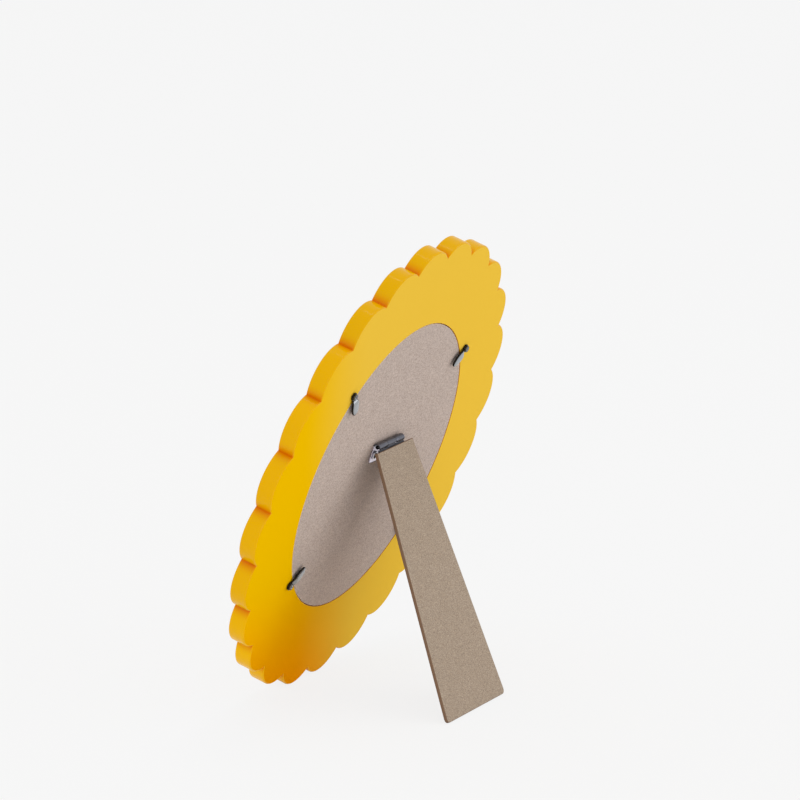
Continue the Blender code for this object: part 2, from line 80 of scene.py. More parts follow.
class Slot(Enum):
    """The record's material slots."""

    LACQUER = "yellow_lacquer"
    BACKING = "backing_fibreboard"
    LEG = "leg_fibreboard"
    CARD = "card"
    GLAZING = "clear_glazing"
    PLATED = "plated_steel"
    DARK = "dark_steel"


# Colour

def srgb(code: str) -> tuple[float, float, float, float]:
    """Turn an sRGB hex colour to linear.

    Args:
        code: Six hex digits after a hash sign.

    Returns:
        Linear red, green and blue, and an alpha of one.
    """
    parts = np.array([int(code[i:i + 2], 16) for i in (1, 3, 5)]) / 255.0
    linear = np.where(parts <= 0.04045, parts / 12.92, ((parts + 0.055) / 1.055) ** 2.4)
    return (*(float(x) for x in linear), 1.0)


# Vectors and planes

def unit(vector: Array) -> Array:
    """A vector over its own length."""
    return vector / np.linalg.norm(vector)


def rotation_about_x(angle: float) -> Array:
    """Four by four matrix that turns about x."""
    c, s = math.cos(angle), math.sin(angle)
    return np.array([[1, 0, 0, 0], [0, c, -s, 0], [0, s, c, 0], [0, 0, 0, 1]], float)


def rotation_about_z(angle: float) -> Array:
    """Four by four matrix that turns about z."""
    c, s = math.cos(angle), math.sin(angle)
    return np.array([[c, -s, 0, 0], [s, c, 0, 0], [0, 0, 1, 0], [0, 0, 0, 1]], float)


def plane_matrix(x: Array, z: Array, place: Array) -> Array:
    """Four by four matrix of a plane, whose y is the cross product of z and x.

    Args:
        x: Unit vector of its x.
        z: Unit vector of its z.
        place: Where its zero is.

    Returns:
        The matrix.
    """
    matrix = np.eye(4)
    matrix[:3] = np.column_stack([x, np.cross(z, x), z, place])
    return matrix


def shift(x: float, y: float) -> Array:
    """Four by four matrix that moves within a plane.

    Args:
        x: Step along x.
        y: Step along y.

    Returns:
        The matrix.
    """
    matrix = np.eye(4)
    matrix[:2, 3] = (x, y)
    return matrix


def carried(points: Array, matrix: Array) -> Array:
    """Points times a matrix, for an array whose last axis holds x, y and z."""
    return points @ matrix[:3, :3].T + matrix[:3, 3]


def in_plane(places: Array, matrix: Array) -> Array:
    """Places in a plane's own x, y and z, which undoes carried."""
    return (places - matrix[:3, 3]) @ matrix[:3, :3]


def from_axis(places: Array) -> Array:
    """Distance of each place from the z axis: the root of x squared plus y squared."""
    return np.hypot(places[..., 0], places[..., 1])


def ease(value: Array) -> Array:
    """Ease from 0 to 1: three times the square less twice the cube of the value held in 0 to 1."""
    held = np.clip(value, 0.0, 1.0)
    return held * held * (3 - 2 * held)


def left_normals(steps: Array) -> Array:
    """Each step of a path turned a quarter turn to its left, over its own length."""
    turned = np.stack([-steps[:, 1], steps[:, 0]], axis=1)
    return turned / np.linalg.norm(turned, axis=1)[:, None]


def arc_points(centre: tuple[float, float], radius: float, start: float, end: float,
               count: int) -> Array:
    """Points evenly spaced along an arc: the centre plus the radius times cosine and sine.

    Args:
        centre: Its two coordinates.
        radius: Radius of the arc.
        start: First angle in radians.
        end: Last angle in radians.
        count: Number of points, both ends included.

    Returns:
        Array of count rows and two columns.
    """
    angles = np.linspace(start, end, count)
    return np.stack([centre[0] + radius * np.cos(angles), centre[1] + radius * np.sin(angles)], axis=1)


# Meshes from arrays

def grid_faces(rows: int, columns: int, close_rows: bool, close_columns: bool) -> Array:
    """Quads of a grid whose point at row i and column j has the number i times columns plus j.

    Args:
        rows: Number of rows.
        columns: Number of columns.
        close_rows: Whether the last row joins the first.
        close_columns: Whether the last column joins the first.

    Returns:
        Four point numbers for each quad.
    """
    i = np.arange(rows if close_rows else rows - 1)[:, None]
    j = np.arange(columns if close_columns else columns - 1)[None, :]
    i2, j2 = (i + 1) % rows, (j + 1) % columns
    corners = [i * columns + j, i2 * columns + j, i2 * columns + j2, i * columns + j2]
    return np.stack([np.broadcast_to(c, (i.size, j.size)) for c in corners], axis=-1).reshape(-1, 4)


def mesh_object(name: str, points: Array, faces: Array) -> bpy.types.Object:
    """Make an object at the origin from arrays, with its doubles merged and its faces outwards.

    Args:
        name: Name of the piece.
        points: Array of places, one row each.
        faces: Array of point numbers, four a row.

    Returns:
        The new object, linked to the scene.
    """
    mesh = bpy.data.meshes.new(name)
    mesh.vertices.add(len(points))
    mesh.vertices.foreach_set("co", np.ascontiguousarray(points, np.float32).ravel())
    mesh.loops.add(faces.size)
    mesh.loops.foreach_set("vertex_index", np.ascontiguousarray(faces, np.int32).ravel())
    mesh.polygons.add(len(faces))
    mesh.polygons.foreach_set("loop_start", np.arange(0, faces.size, 4, dtype=np.int32))
    mesh.update(calc_edges=True)
    shape = bmesh.new()
    shape.from_mesh(mesh)
    bmesh.ops.remove_doubles(shape, verts=shape.verts, dist=WELD)
    bmesh.ops.recalc_face_normals(shape, faces=shape.faces)
    shape.to_mesh(mesh)
    shape.free()
    mesh.shade_smooth()
    mesh.set_sharp_from_angle(angle=math.radians(CREASE_DEGREES))
    obj = bpy.data.objects.new(name, mesh)
    bpy.context.scene.collection.objects.link(obj)
    return obj


def grid_object(name: str, grid: Array, matrix: Array, close_rows: bool = False) -> bpy.types.Object:
    """Make a piece from a grid of points whose rows each run all the way round.

    Args:
        name: Name of the piece.
        grid: Points, rows by columns by three.
        matrix: Matrix that carries them to their place.
        close_rows: Whether the last row joins the first.

    Returns:
        The piece.
    """
    rows, columns = grid.shape[:2]
    faces = grid_faces(rows, columns, close_rows, close_columns=True)
    return mesh_object(name, carried(grid, matrix).reshape(-1, 3), faces)


def turned_grid(profile: Array, sides: int) -> Array:
    """Surface of revolution about z.

    Each point of the profile is a radius and a height.  Its ring has x equal to the radius times the
    cosine of the angle, y to the radius times its sine, and z to the height.

    Args:
        profile: Radius and height of each point.
        sides: Number of places round the axis.

    Returns:
        Points, one row for each point of the profile.
    """
    angles = np.linspace(0, 2 * math.pi, sides, endpoint=False)
    x = profile[:, :1] * np.cos(angles)
    y = profile[:, :1] * np.sin(angles)
    z = np.broadcast_to(profile[:, 1:], x.shape)
    return np.stack([x, y, z], axis=-1)


def mark_places(obj: bpy.types.Object, name: str, share: Callable[[Array], Array]) -> None:
    """Give each vertex a value worked out from its place.

    Args:
        obj: The piece.
        name: Name of the attribute.
        share: Takes the array of places and returns a value for each.
    """
    places = np.empty(len(obj.data.vertices) * 3, np.float32)
    obj.data.vertices.foreach_get("co", places)
    marks = obj.data.attributes.new(name, "FLOAT", "POINT")
    marks.data.foreach_set("value", share(places.reshape(-1, 3)).astype(np.float32))


def mark_points(obj: bpy.types.Object, name: str, grid: Array, matrix: Array, values: Array) -> None:
    """Give each vertex the value of the grid point that it came from.

    Merging doubles changes the order of the vertices, so each looks up the nearest grid point.

    Args:
        obj: The piece.
        name: Name of the attribute.
        grid: The points that it was made from, rows by columns by three.
        matrix: Matrix that carried them to their place.
        values: One value for each point.
    """
    points = carried(grid, matrix).reshape(1, -1, 3).astype(np.float32)
    mark_places(obj, name, lambda places: values.ravel()[
        np.argmin(np.linalg.norm(places[:, None] - points, axis=2), axis=1)])


def split_finish(obj: bpy.types.Object, second: bpy.types.Material, matrix: Array,
                 chosen: Callable[[Array], Array]) -> None:
    """Give one more material to some of a piece's faces.

    Args:
        obj: The piece.
        second: The material.
        matrix: Plane in whose own x, y and z the faces' middles are given.
        chosen: Takes the array of middles and returns which faces have the material.
    """
    obj.data.materials.append(second)
    middles = np.empty(len(obj.data.polygons) * 3, np.float32)
    numbers = np.empty(len(obj.data.polygons), np.int32)
    obj.data.polygons.foreach_get("center", middles)
    obj.data.polygons.foreach_get("material_index", numbers)
    numbers[chosen(in_plane(middles.reshape(-1, 3).astype(float), matrix))] = len(obj.data.materials) - 1
    obj.data.polygons.foreach_set("material_index", numbers)


def make_sheet(obj: bpy.types.Object, thickness: float, rounding: float) -> None:
    """Turn a middle surface into a sheet of metal with slightly rounded edges.

    Args:
        obj: The piece.
        thickness: Thickness of the sheet, half of it on each side of the surface.
        rounding: Width of the rounding along every sharp edge.
    """
    solid = obj.modifiers.new("sheet", "SOLIDIFY")
    solid.thickness = thickness
    solid.offset = 0.0
    solid.use_even_offset = True
    bevel = obj.modifiers.new("eased_edges", "BEVEL")
    bevel.width = rounding
    bevel.segments = 2
    bevel.limit_method = "ANGLE"
    bevel.angle_limit = math.radians(40.0)


def dress(obj: bpy.types.Object, material: bpy.types.Material, body: str,
          nodes: Sequence[str]) -> None:
    """Give a piece its material, its body and the nodes that it stands for.

    Args:
        obj: The piece.
        material: Its material.
        body: Name of the body that it rides on.
        nodes: Names of the solids that it replaces.
    """
    obj.data.materials.clear()
    obj.data.materials.append(material)
    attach(obj, body)
    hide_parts(*nodes)
    LOG.info("%s rides on %s and has %d faces", obj.name, body, len(obj.data.polygons))


# Materials

def add_node(tree: bpy.types.NodeTree, kind: str, settings: Optional[dict[str, Any]] = None,
             inputs: Optional[dict[Any, Any]] = None) -> bpy.types.Node:
    """Add a node with its settings and inputs.

    Args:
        tree: The node tree.
        kind: Blender's name for the node's type.
        settings: Attribute names and their values.
        inputs: Socket names or numbers, each with a value or with the socket that feeds it.

    Returns:
        The new node.
    """
    node = tree.nodes.new(kind)
    for name, value in (settings or {}).items():
        setattr(node, name, value)
    for name, value in (inputs or {}).items():
        if isinstance(value, bpy.types.NodeSocket):
            tree.links.new(value, node.inputs[name])
        else:
            node.inputs[name].default_value = value
    return node


def blank_material(name: str) -> tuple[bpy.types.Material, bpy.types.NodeTree, bpy.types.Node]:
    """Make a material that has only its Principled shader.

    Args:
        name: Name of the material.

    Returns:
        The material, its node tree and the shader.
    """
    material = bpy.data.materials.new(name)
    material.use_nodes = True
    tree = material.node_tree
    return material, tree, tree.nodes["Principled BSDF"]


def tune(shader: bpy.types.Node, **values: Any) -> None:
    """Set the shader's sockets, whose names have underscores here in place of spaces."""
    for name, value in values.items():
        shader.inputs[name.replace("_", " ")].default_value = value


def layered(tree: bpy.types.NodeTree, colour: str,
            layers: Sequence[tuple[bpy.types.NodeSocket, str]]) -> bpy.types.NodeSocket:
    """Lay colours over a first one, each by its own share.

    Args:
        tree: The node tree.
        colour: The first colour.
        layers: Socket of the share and the colour of each layer, the lowest first.

    Returns:
        Socket of the colour that shows.
    """
    below: Any = srgb(colour)
    for share, code in layers:
        mixed = add_node(tree, "ShaderNodeMix", {"data_type": "RGBA"}, {
            "Factor": share, 6: below, 7: srgb(code)})
        below = mixed.outputs[2]
    return below


def surface(tree: bpy.types.NodeTree, shader: bpy.types.Node, colour: bpy.types.NodeSocket,
            height: bpy.types.NodeSocket, relief: tuple[float, float]) -> None:
    """Link a colour and a relief to a shader.

    Args:
        tree: The node tree.
        shader: The Principled shader.
        colour: Socket of the colour.
        height: Socket of the relief's height, from 0 to 1.
        relief: Strength of the relief and how deep it is.
    """
    strength, depth = relief
    bump = add_node(tree, "ShaderNodeBump", inputs={
        "Height": height, "Strength": strength, "Distance": depth})
    tree.links.new(colour, shader.inputs["Base Color"])
    tree.links.new(bump.outputs["Normal"], shader.inputs["Normal"])


@dataclass(frozen=True)
class SprayedLacquer:
    """Polyurethane lacquer sprayed over fine board: a deep warm yellow.

    On the walls and rims the film is cut and polished, so it mirrors soft lights with edges a little
    blurred.  On the back it is left thin and satin, so that the colour stays deep at a low view.
    Over the yellow lie two fades of painted light, each running along its way between its ends and
    wandering by up to drift.  Towards the upper right, as seen from behind, the satin back is painted
    paler, a painted reflection, and the polished walls darker, painted shade.  Towards the foot the back
    is painted deeper orange, painted shade, and the walls lighter, a painted reflection.  Orange painted
    shade lies in the valleys where the piece carries its valley attribute.  The lacquer keeps a faint
    ripple, about 2 mm from crest to crest, which spray leaves.
    """

    name: str
    colour: str
    # Painted light: colours laid over the yellow towards the upper right and towards the foot.
    painted_upper_right_light: str
    painted_foot_light: str
    roughness: float
    specular: float
    # Painted shade: orange laid in the lobes' valleys.
    valley_shade_colour: str = ""
    ior: float = 1.5
    ripple_spacing: float = 0.0022
    ripple_relief: tuple[float, float] = (0.25, 0.00002)
    drift_spacing: float = 0.06
    drift: float = 0.012
    # Where the two fades of painted light run: towards the upper right, as seen from behind, and towards
    # the foot.
    painted_upper_right_way: tuple[float, float, float] = (-0.866, 0.0, 0.5219)
    painted_upper_right_ends: tuple[float, float] = (-0.0076, 0.0564)
    painted_foot_way: tuple[float, float, float] = (0.0, 0.0, -1.044)
    painted_foot_ends: tuple[float, float] = (-0.0868, 0.0212)

    def fade(self, tree: bpy.types.NodeTree, place: bpy.types.NodeSocket,
             way: tuple[float, float, float], ends: tuple[float, float]) -> bpy.types.NodeSocket:
        """Share that eases from 0 to 1 along a way, where the place times it goes from end to end.

        Args:
            tree: The node tree.
            place: Socket of the point's place.
            way: Direction, as a vector.
            ends: Where the share starts and where it is full.

        Returns:
            The share's socket.
        """
        spots = add_node(tree, "ShaderNodeTexNoise", inputs={
            "Vector": place, "Scale": 1 / self.drift_spacing, "Detail": 2.0})
        along = add_node(tree, "ShaderNodeVectorMath", {"operation": "DOT_PRODUCT"}, {0: place, 1: way})
        wavy = add_node(tree, "ShaderNodeMath", {"operation": "MULTIPLY_ADD"}, {
            0: spots.outputs["Fac"], 1: self.drift, 2: along.outputs["Value"]})
        share = add_node(tree, "ShaderNodeMapRange", {"interpolation_type": "SMOOTHSTEP"}, {
            "Value": wavy.outputs[0], "From Min": ends[0], "From Max": ends[1]})
        return share.outputs["Result"]

    def build(self) -> bpy.types.Material:
        """Make the material.

        Returns:
            The material.
        """
        material, tree, shader = blank_material(self.name)
        place = add_node(tree, "ShaderNodeTexCoord").outputs["Object"]
        # Painted light by place: a fade towards the foot, then one towards the upper right, then the
        # painted valley shade.
        layers = [(self.fade(tree, place, self.painted_foot_way, self.painted_foot_ends), self.painted_foot_light),
                  (self.fade(tree, place, self.painted_upper_right_way, self.painted_upper_right_ends), self.painted_upper_right_light)]
        # Painted shade in the valleys, read from the attribute marked on the ring.
        if self.valley_shade_colour:
            valley_shade_mark = add_node(tree, "ShaderNodeAttribute", {"attribute_name": "painted_valley_shade"})
            layers.append((valley_shade_mark.outputs["Fac"], self.valley_shade_colour))
        ripple = add_node(tree, "ShaderNodeTexNoise", inputs={
            "Vector": place, "Scale": 1 / self.ripple_spacing, "Detail": 1.0})
        surface(tree, shader, layered(tree, self.colour, layers), ripple.outputs["Fac"],
                self.ripple_relief)
        tune(shader, Roughness=self.roughness, IOR=self.ior, Specular_IOR_Level=self.specular)
        return material


@dataclass(frozen=True)
class Fibreboard:
    """Thin pressed fibreboard with a taupe skin: dull, with a fine fleck from its fibres.

    The fleck is 0.8 mm across, or 0.5 mm on the leg, over soft clouds 9 mm wide.  It grows from none
    to full as its noise goes from one of fleck_ends to the other.  Where the piece carries the
    attribute cut_edge, the skin gives way to the darker brown of the sawn board.  A disc can be given
    a painted highlight: a pale colour farther from a centre than a radius, painted light on its edge
    that lifts the shade in the gap round it.
    """

    name: str = "taupe_fibreboard"
    colour: str = "#C6B5AB"
    fleck: str = "#A09087"
    cloud: str = "#BAAAA0"
    cut_colour: str = "#7A5E45"
    fleck_spacing: float = 0.0008
    fleck_ends: tuple[float, float] = (0.38, 0.62)
    fleck_relief: tuple[float, float] = (0.35, 0.0001)
    cloud_spacing: float = 0.009
    roughness: float = 0.82
    ior: float = 1.45
    specular: float = 0.3
    has_cut_edge: bool = False
    # Painted highlight: a pale colour on a disc's edge, lifting the shade in the gap round it.
    painted_highlight_centre: tuple[float, float, float] = (0.0, 0.0, 0.0)
    painted_highlight_radius: float = 0.0
    painted_highlight_colour: str = "#FFF0D2"

    def build(self) -> bpy.types.Material:
        """Make the material.

        Returns:
            The material.
        """
        material, tree, shader = blank_material(self.name)
        place = add_node(tree, "ShaderNodeTexCoord").outputs["Object"]
        fine = add_node(tree, "ShaderNodeTexNoise", inputs={
            "Vector": place, "Scale": 1 / self.fleck_spacing, "Detail": 3.0, "Roughness": 0.6})
        broad = add_node(tree, "ShaderNodeTexNoise", inputs={
            "Vector": place, "Scale": 1 / self.cloud_spacing, "Detail": 3.0})
        spread = add_node(tree, "ShaderNodeMapRange", inputs={
            "Value": fine.outputs["Fac"], "From Min": self.fleck_ends[0],
            "From Max": self.fleck_ends[1]})
        layers = [(broad.outputs["Fac"], self.cloud), (spread.outputs["Result"], self.fleck)]
        if self.has_cut_edge:
            cut = add_node(tree, "ShaderNodeAttribute", {"attribute_name": "cut_edge"})
            layers.append((cut.outputs["Fac"], self.cut_colour))
        # Painted highlight on the disc's edge, past the given radius from its centre.
        if self.painted_highlight_radius:
            reach = add_node(tree, "ShaderNodeVectorMath", {"operation": "DISTANCE"}, {
                0: place, 1: self.painted_highlight_centre})
            is_rim = add_node(tree, "ShaderNodeMath", {"operation": "GREATER_THAN"}, {
                0: reach.outputs["Value"], 1: self.painted_highlight_radius})
            layers.append((is_rim.outputs[0], self.painted_highlight_colour))
        surface(tree, shader, layered(tree, self.colour, layers), fine.outputs["Fac"],
                self.fleck_relief)
        tune(shader, Roughness=self.roughness, IOR=self.ior, Specular_IOR_Level=self.specular)
        return material


@dataclass(frozen=True)
class PlatedSteel:
    """Cold-rolled steel strip with a bright plate: satin, with fine draw lines along one way.

    The lines are about 0.25 mm apart, which is coarser than real ones, so that they show, and each is
    some 6 mm long.  From line to line the roughness varies between its shares.  The plate has faint
    clouds 2 mm wide.  Where the piece carries its shade attribute, the plate gives way to a near-black:
    painted shade and painted dark reflection on sides and rims, with the tops left light.
    """

    name: str
    colour: str
    worn_colour: str
    roughness: float
    # Painted shade: the near-black laid where the piece carries the shade attribute.
    painted_shade_colour: str = ""
    roughness_shares: tuple[float, float] = (0.75, 1.3)
    line_spacing: float = 0.00025
    line_stretch: float = 0.04
    line_relief: tuple[float, float] = (0.2, 0.00002)
    cloud_spacing: float = 0.002

    def build(self) -> bpy.types.Material:
        """Make the material.

        Returns:
            The material.
        """
        material, tree, shader = blank_material(self.name)
        place = add_node(tree, "ShaderNodeTexCoord").outputs["Object"]
        stretched = add_node(tree, "ShaderNodeMapping", inputs={
            "Vector": place, "Scale": (self.line_stretch, 1.0, 1.0)})
        lines = add_node(tree, "ShaderNodeTexNoise", inputs={
            "Vector": stretched.outputs["Vector"], "Scale": 1 / self.line_spacing, "Detail": 2.0})
        clouds = add_node(tree, "ShaderNodeTexNoise", inputs={
            "Vector": place, "Scale": 1 / self.cloud_spacing, "Detail": 2.0})
        layers = [(clouds.outputs["Fac"], self.worn_colour)]
        # Painted shade and painted dark reflection on sides and rims.
        if self.painted_shade_colour:
            edge = add_node(tree, "ShaderNodeAttribute", {"attribute_name": "painted_side_shade"})
            layers.append((edge.outputs["Fac"], self.painted_shade_colour))
        low, high = (self.roughness * share for share in self.roughness_shares)
        rough = add_node(tree, "ShaderNodeMapRange", inputs={
            "Value": lines.outputs["Fac"], "To Min": low, "To Max": high})
        surface(tree, shader, layered(tree, self.colour, layers), lines.outputs["Fac"],
                self.line_relief)
        tree.links.new(rough.outputs["Result"], shader.inputs["Roughness"])
        tune(shader, Metallic=1.0)
        return material


@dataclass(frozen=True)
class PrintCard:
    """Uncoated card: white, dull, with a barely visible tooth of about half a millimetre."""

    name: str = "uncoated_card"
    colour: str = "#F1EEE8"
    shade: str = "#EAE6DF"
    roughness: float = 0.75
    ior: float = 1.45
    tooth_spacing: float = 0.0005
    tooth_relief: tuple[float, float] = (0.2, 0.00004)

    def build(self) -> bpy.types.Material:
        """Make the material.

        Returns:
            The material.
        """
        material, tree, shader = blank_material(self.name)
        place = add_node(tree, "ShaderNodeTexCoord").outputs["Object"]
        tooth = add_node(tree, "ShaderNodeTexNoise", inputs={
            "Vector": place, "Scale": 1 / self.tooth_spacing, "Detail": 2.0}).outputs["Fac"]
        surface(tree, shader, layered(tree, self.colour, [(tooth, self.shade)]), tooth,
                self.tooth_relief)
        tune(shader, Roughness=self.roughness, IOR=self.ior)
        return material


@dataclass(frozen=True)
class FloatGlass:
    """Clear float glass: colourless through its face, with sharp reflections.

    Only the share called body bends and mirrors light.  The rest goes straight through, as it all but
    does in so thin a pane, so the card behind it stays bright.
    """

    name: str = "float_glass"
    colour: str = "#FAFDFB"
    roughness: float = 0.02
    ior: float = 1.5
    body: float = 0.3

    def build(self) -> bpy.types.Material:
        """Make the material.

        Returns:
            The material.
        """
        material, _, shader = blank_material(self.name)
        tune(shader, Base_Color=srgb(self.colour), Roughness=self.roughness, IOR=self.ior,
             Transmission_Weight=1.0, Alpha=self.body)
        return material


# Places

@dataclass(frozen=True)
class Stance:
    """Where the picture's plane and the leg's plane are, read from the part's joints."""

    plane: Array
    leg: Array
    screws: dict[str, Array]

    @classmethod
    def from_joints(cls, joints: Sequence[dict[str, Any]]) -> "Stance":
        """Work the planes out from the joints' places and axes.

        The four swivels stand square to the picture's plane and evenly about its middle.  The leg is
        open by its hinge's whole range at rest.

        Args:
            joints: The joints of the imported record.

        Returns:
            The stance.
        """
        by_name = {joint["name"]: joint for joint in joints}
        swivels = {name: joint for name, joint in by_name.items() if name.endswith("_swivel")}
        places = {name[:-len("_swivel")]: np.array(joint["pos_m"]) for name, joint in swivels.items()}
        out = unit(np.array(next(iter(swivels.values()))["axis"], float))
        # The row frame's +X runs to the left as seen from behind.
        right = np.array([-1.0, 0.0, 0.0])
        fold = by_name["leg_fold"]
        hinge = plane_matrix(right, out, np.array(fold["pos_m"]))
        leg = hinge @ rotation_about_x(-math.radians(fold["range_deg"][1]))
        return cls(plane_matrix(right, out, np.mean(list(places.values()), axis=0)), leg, places)

    def moved_to(self, place: Array) -> Array:
        """Move the picture's plane.

        Args:
            place: Where its zero goes.

        Returns:
            The moved plane's matrix.
        """
        matrix = self.plane.copy()
        matrix[:3, 3] = place
        return matrix

    @property
    def hinge(self) -> Array:
        """The picture's plane, moved to the hinge's axis."""
        return self.moved_to(self.leg[:3, 3])

    def at_screw(self, place: str, heading: float) -> Array:
        """Plane whose zero is a screw's axis and whose x points along a heading."""
        return self.moved_to(self.screws[place]) @ rotation_about_z(heading)


# Frame body

@dataclass(frozen=True)
class ScallopedRing:
    """The lacquered ring: lobes round its edge, rounded rims and a rebated round opening."""

    # Painted light in these values: the polished copy on the walls has a slightly deeper yellow than the
    # satin back, as painted shade, is painted darker towards the upper right and lighter towards the
    # foot, and carries orange painted valley shade; the satin back is painted paler towards the upper
    # right and orange towards the foot.
    gloss: SprayedLacquer = field(default_factory=lambda: SprayedLacquer(
        "polished_yellow_lacquer", "#E2AA00", "#DAA400", "#F4BC00", 0.12, 0.07, "#D87000"))
    satin: SprayedLacquer = field(default_factory=lambda: SprayedLacquer(
        "satin_yellow_lacquer", "#E6B400", "#E4BA3E", "#F29A00", 0.4, 0.0))
    # Painted shade: a brown board colour on the rebate's wall, standing in for the shadowed gap round
    # the board.
    gap_shade_finish: Fibreboard = field(default_factory=lambda: Fibreboard(
        name="painted_gap_shade_wall", colour="#B4680E", fleck="#9A560A", cloud="#BC7210"))
    gap_shade_level: float = -0.00008
    # Reach, rim share and depth of the painted shade in the valleys.
    valley_shade_reach: float = 0.0055
    valley_shade_rim: float = 0.3
    valley_shade_depth: float = 1.6
    lobe_count: int = 24
    peak_radius: float = 0.1260
    lobe_depth: float = 0.0065
    edge_round: float = 0.0009
    rebate_radius: float = 0.0803
    rebate_ease: float = 0.0003
    lip_width: float = 0.0050
    lip_thickness: float = 0.0040
    lip_ease: float = 0.0010
    thickness: float = 0.00925
    chord_inset: float = 0.00008
    hair: float = 0.00004
    points_per_lobe: int = 32
    points_per_rim: int = 9
    guard: float = 0.00025

    def lobe(self) -> tuple[float, float, float]:
        """Work out a lobe's arc through its peak and the two valleys beside it.

        Its radius is half the chord squared plus the rise squared, over twice the rise.

        Returns:
            Radius of the arc, distance of its centre and half the angle that it spans.
        """
        half_pitch = math.pi / self.lobe_count
        valley = self.peak_radius - self.lobe_depth
        half_chord = valley * math.sin(half_pitch)
        chord_out = valley * math.cos(half_pitch)
        rise = self.peak_radius - chord_out
        radius = (half_chord ** 2 + rise ** 2) / (2 * rise)
        centre_out = self.peak_radius - radius
        return radius, centre_out, math.atan2(half_chord, chord_out - centre_out)

    def section(self) -> tuple[Array, Array, Array]:
        """Section of the ring, from the rebate's back rim round the outside to the lip and back.

        Beside each corner lies one more point, a guard's width away, so that shading bends only there.

        Returns:
            For each point, whether it follows the lobes (1) or the opening (0), how far it is set in
            from the lobes' edge or out from the middle, and its height.
        """
        front = -self.thickness
        floor = front + self.lip_thickness
        opening = self.rebate_radius - self.lip_width
        quarter = np.linspace(0, math.pi / 2, self.points_per_rim)
        rim_in = self.edge_round * (1 - np.sin(quarter))
        rim_down = self.edge_round * (1 - np.cos(quarter))
        inner_back = arc_points((self.rebate_radius + self.rebate_ease, -self.rebate_ease),
                                self.rebate_ease, math.pi, math.pi / 2, count=6)
        inner_front = arc_points((opening + self.lip_ease, front + self.lip_ease), self.lip_ease,
                                 1.5 * math.pi, math.pi, count=7)
        inset = self.edge_round + self.guard
        rows = [(0, r, z) for r, z in inner_back]
        rows += [(0, inner_back[-1, 0] + self.guard, 0.0), (1, inset, 0.0)]
        rows += [(1, d, -z) for d, z in zip(rim_in, rim_down)]
        rows += [(1, 0.0, -inset), (1, 0.0, front / 2), (1, 0.0, front + inset)]
        rows += [(1, d, front + z) for d, z in zip(rim_in[::-1], rim_down[::-1])]
        rows += [(1, inset, front), (0, inner_front[0, 0] + self.guard, front)]
        rows += [(0, r, z) for r, z in inner_front]
        rows += [(0, opening, floor - self.guard), (0, opening, floor),
                 (0, opening + self.guard, floor), (0, self.rebate_radius - self.guard, floor),
                 (0, self.rebate_radius, floor), (0, self.rebate_radius, floor + self.guard),
                 (0, self.rebate_radius, -self.rebate_ease - self.guard)]
        follows, reach, height = np.array(rows).T
        return follows, reach, height

    def grid(self) -> Array:
        """Points of the ring, section by section round the middle.

        A lobe's edge is an arc of radius R about a point at distance c.  Along the ray at the angle f
        from that lobe's middle, the edge set in by d lies at c cos f plus the square root of
        (R - d) squared less (c sin f) squared, so neighbouring rims meet on the valley's own plane.
        All of it is set in by a hair, also through the thickness, because the solid's arcs are chords.

        Returns:
            Points, one row for each point of the section.
        """
        radius, centre_out, half_span = self.lobe()
        turn = np.linspace(-half_span, half_span, self.points_per_lobe, endpoint=False)
        off = np.arctan2(radius * np.sin(turn), centre_out + radius * np.cos(turn))
        middles = (np.arange(self.lobe_count) + 0.5) * 2 * math.pi / self.lobe_count
        angle = (middles[:, None] + off).ravel()
        off = np.tile(off, self.lobe_count)
        follows, reach, height = (part[:, None] for part in self.section())
        rim = radius - self.chord_inset - reach * follows
        outer = centre_out * np.cos(off) + np.sqrt(rim ** 2 - (centre_out * np.sin(off)) ** 2)
        r = np.where(follows > 0.5, outer, reach)
        z = np.broadcast_to(height * (1 - 2 * self.hair / self.thickness) - self.hair, r.shape)
        return np.stack([r * np.cos(angle), r * np.sin(angle), z], axis=-1)

    def painted_valley_shade(self, places: Array) -> Array:
        """Share of painted valley shade at each place: all in a valley, none at the shade's reach from
        it.

        A place's distance from the nearest valley is its angle from that valley times the lobes' peak
        radius, and the share is one less that distance over the reach, squared.  It stays on the wall
        and most of its rims: the flat faces have none, nor has a place farther in than
        valley_shade_depth times the lobes' depth.

        Args:
            places: Places in the picture's plane.

        Returns:
            A share for each, from 0 to 1.
        """
        pitch = 2 * math.pi / self.lobe_count
        turn = np.arctan2(places[:, 1], places[:, 0]) / pitch
        away = np.abs(turn - np.round(turn)) * pitch * self.peak_radius
        half = self.thickness / 2
        is_wall = np.abs(places[:, 2] + half) < half - self.edge_round * self.valley_shade_rim
        is_outside = from_axis(places) > self.peak_radius - self.lobe_depth * self.valley_shade_depth
        return np.where(is_wall & is_outside, np.clip(1 - away / self.valley_shade_reach, 0, 1) ** 2, 0.0)

    def is_back(self, middles: Array) -> Array:
        """Which faces lie on the flat back, which is set in by one hair."""
        return middles[:, 2] > -self.hair * 1.5

    def is_gap_shaded(self, middles: Array) -> Array:
        """Which faces get the painted gap shade: near the rebate's radius, and below the shade's level.
        """
        off = np.abs(from_axis(middles) - self.rebate_radius - self.rebate_ease / 2)
        return (off < self.rebate_ease) & (middles[:, 2] < self.gap_shade_level)

    def build(self, stance: Stance) -> None:
        """Make and dress the ring.

        Its flat back is satin and its other lacquered faces are polished.  The rebate's wall below the
        rim is painted brown as painted shade in the gap round the board.

        Args:
            stance: Where the planes are.
        """
        ring = grid_object("scalloped_ring", self.grid(), stance.plane, close_rows=True)
        # Marks where the valleys get their painted shade.
        mark_places(ring, "painted_valley_shade", lambda places: self.painted_valley_shade(in_plane(places, stance.plane)))
        dress(ring, self.gloss.build(), "frame", ["frame_body"])
        split_finish(ring, self.satin.build(), stance.plane, self.is_back)
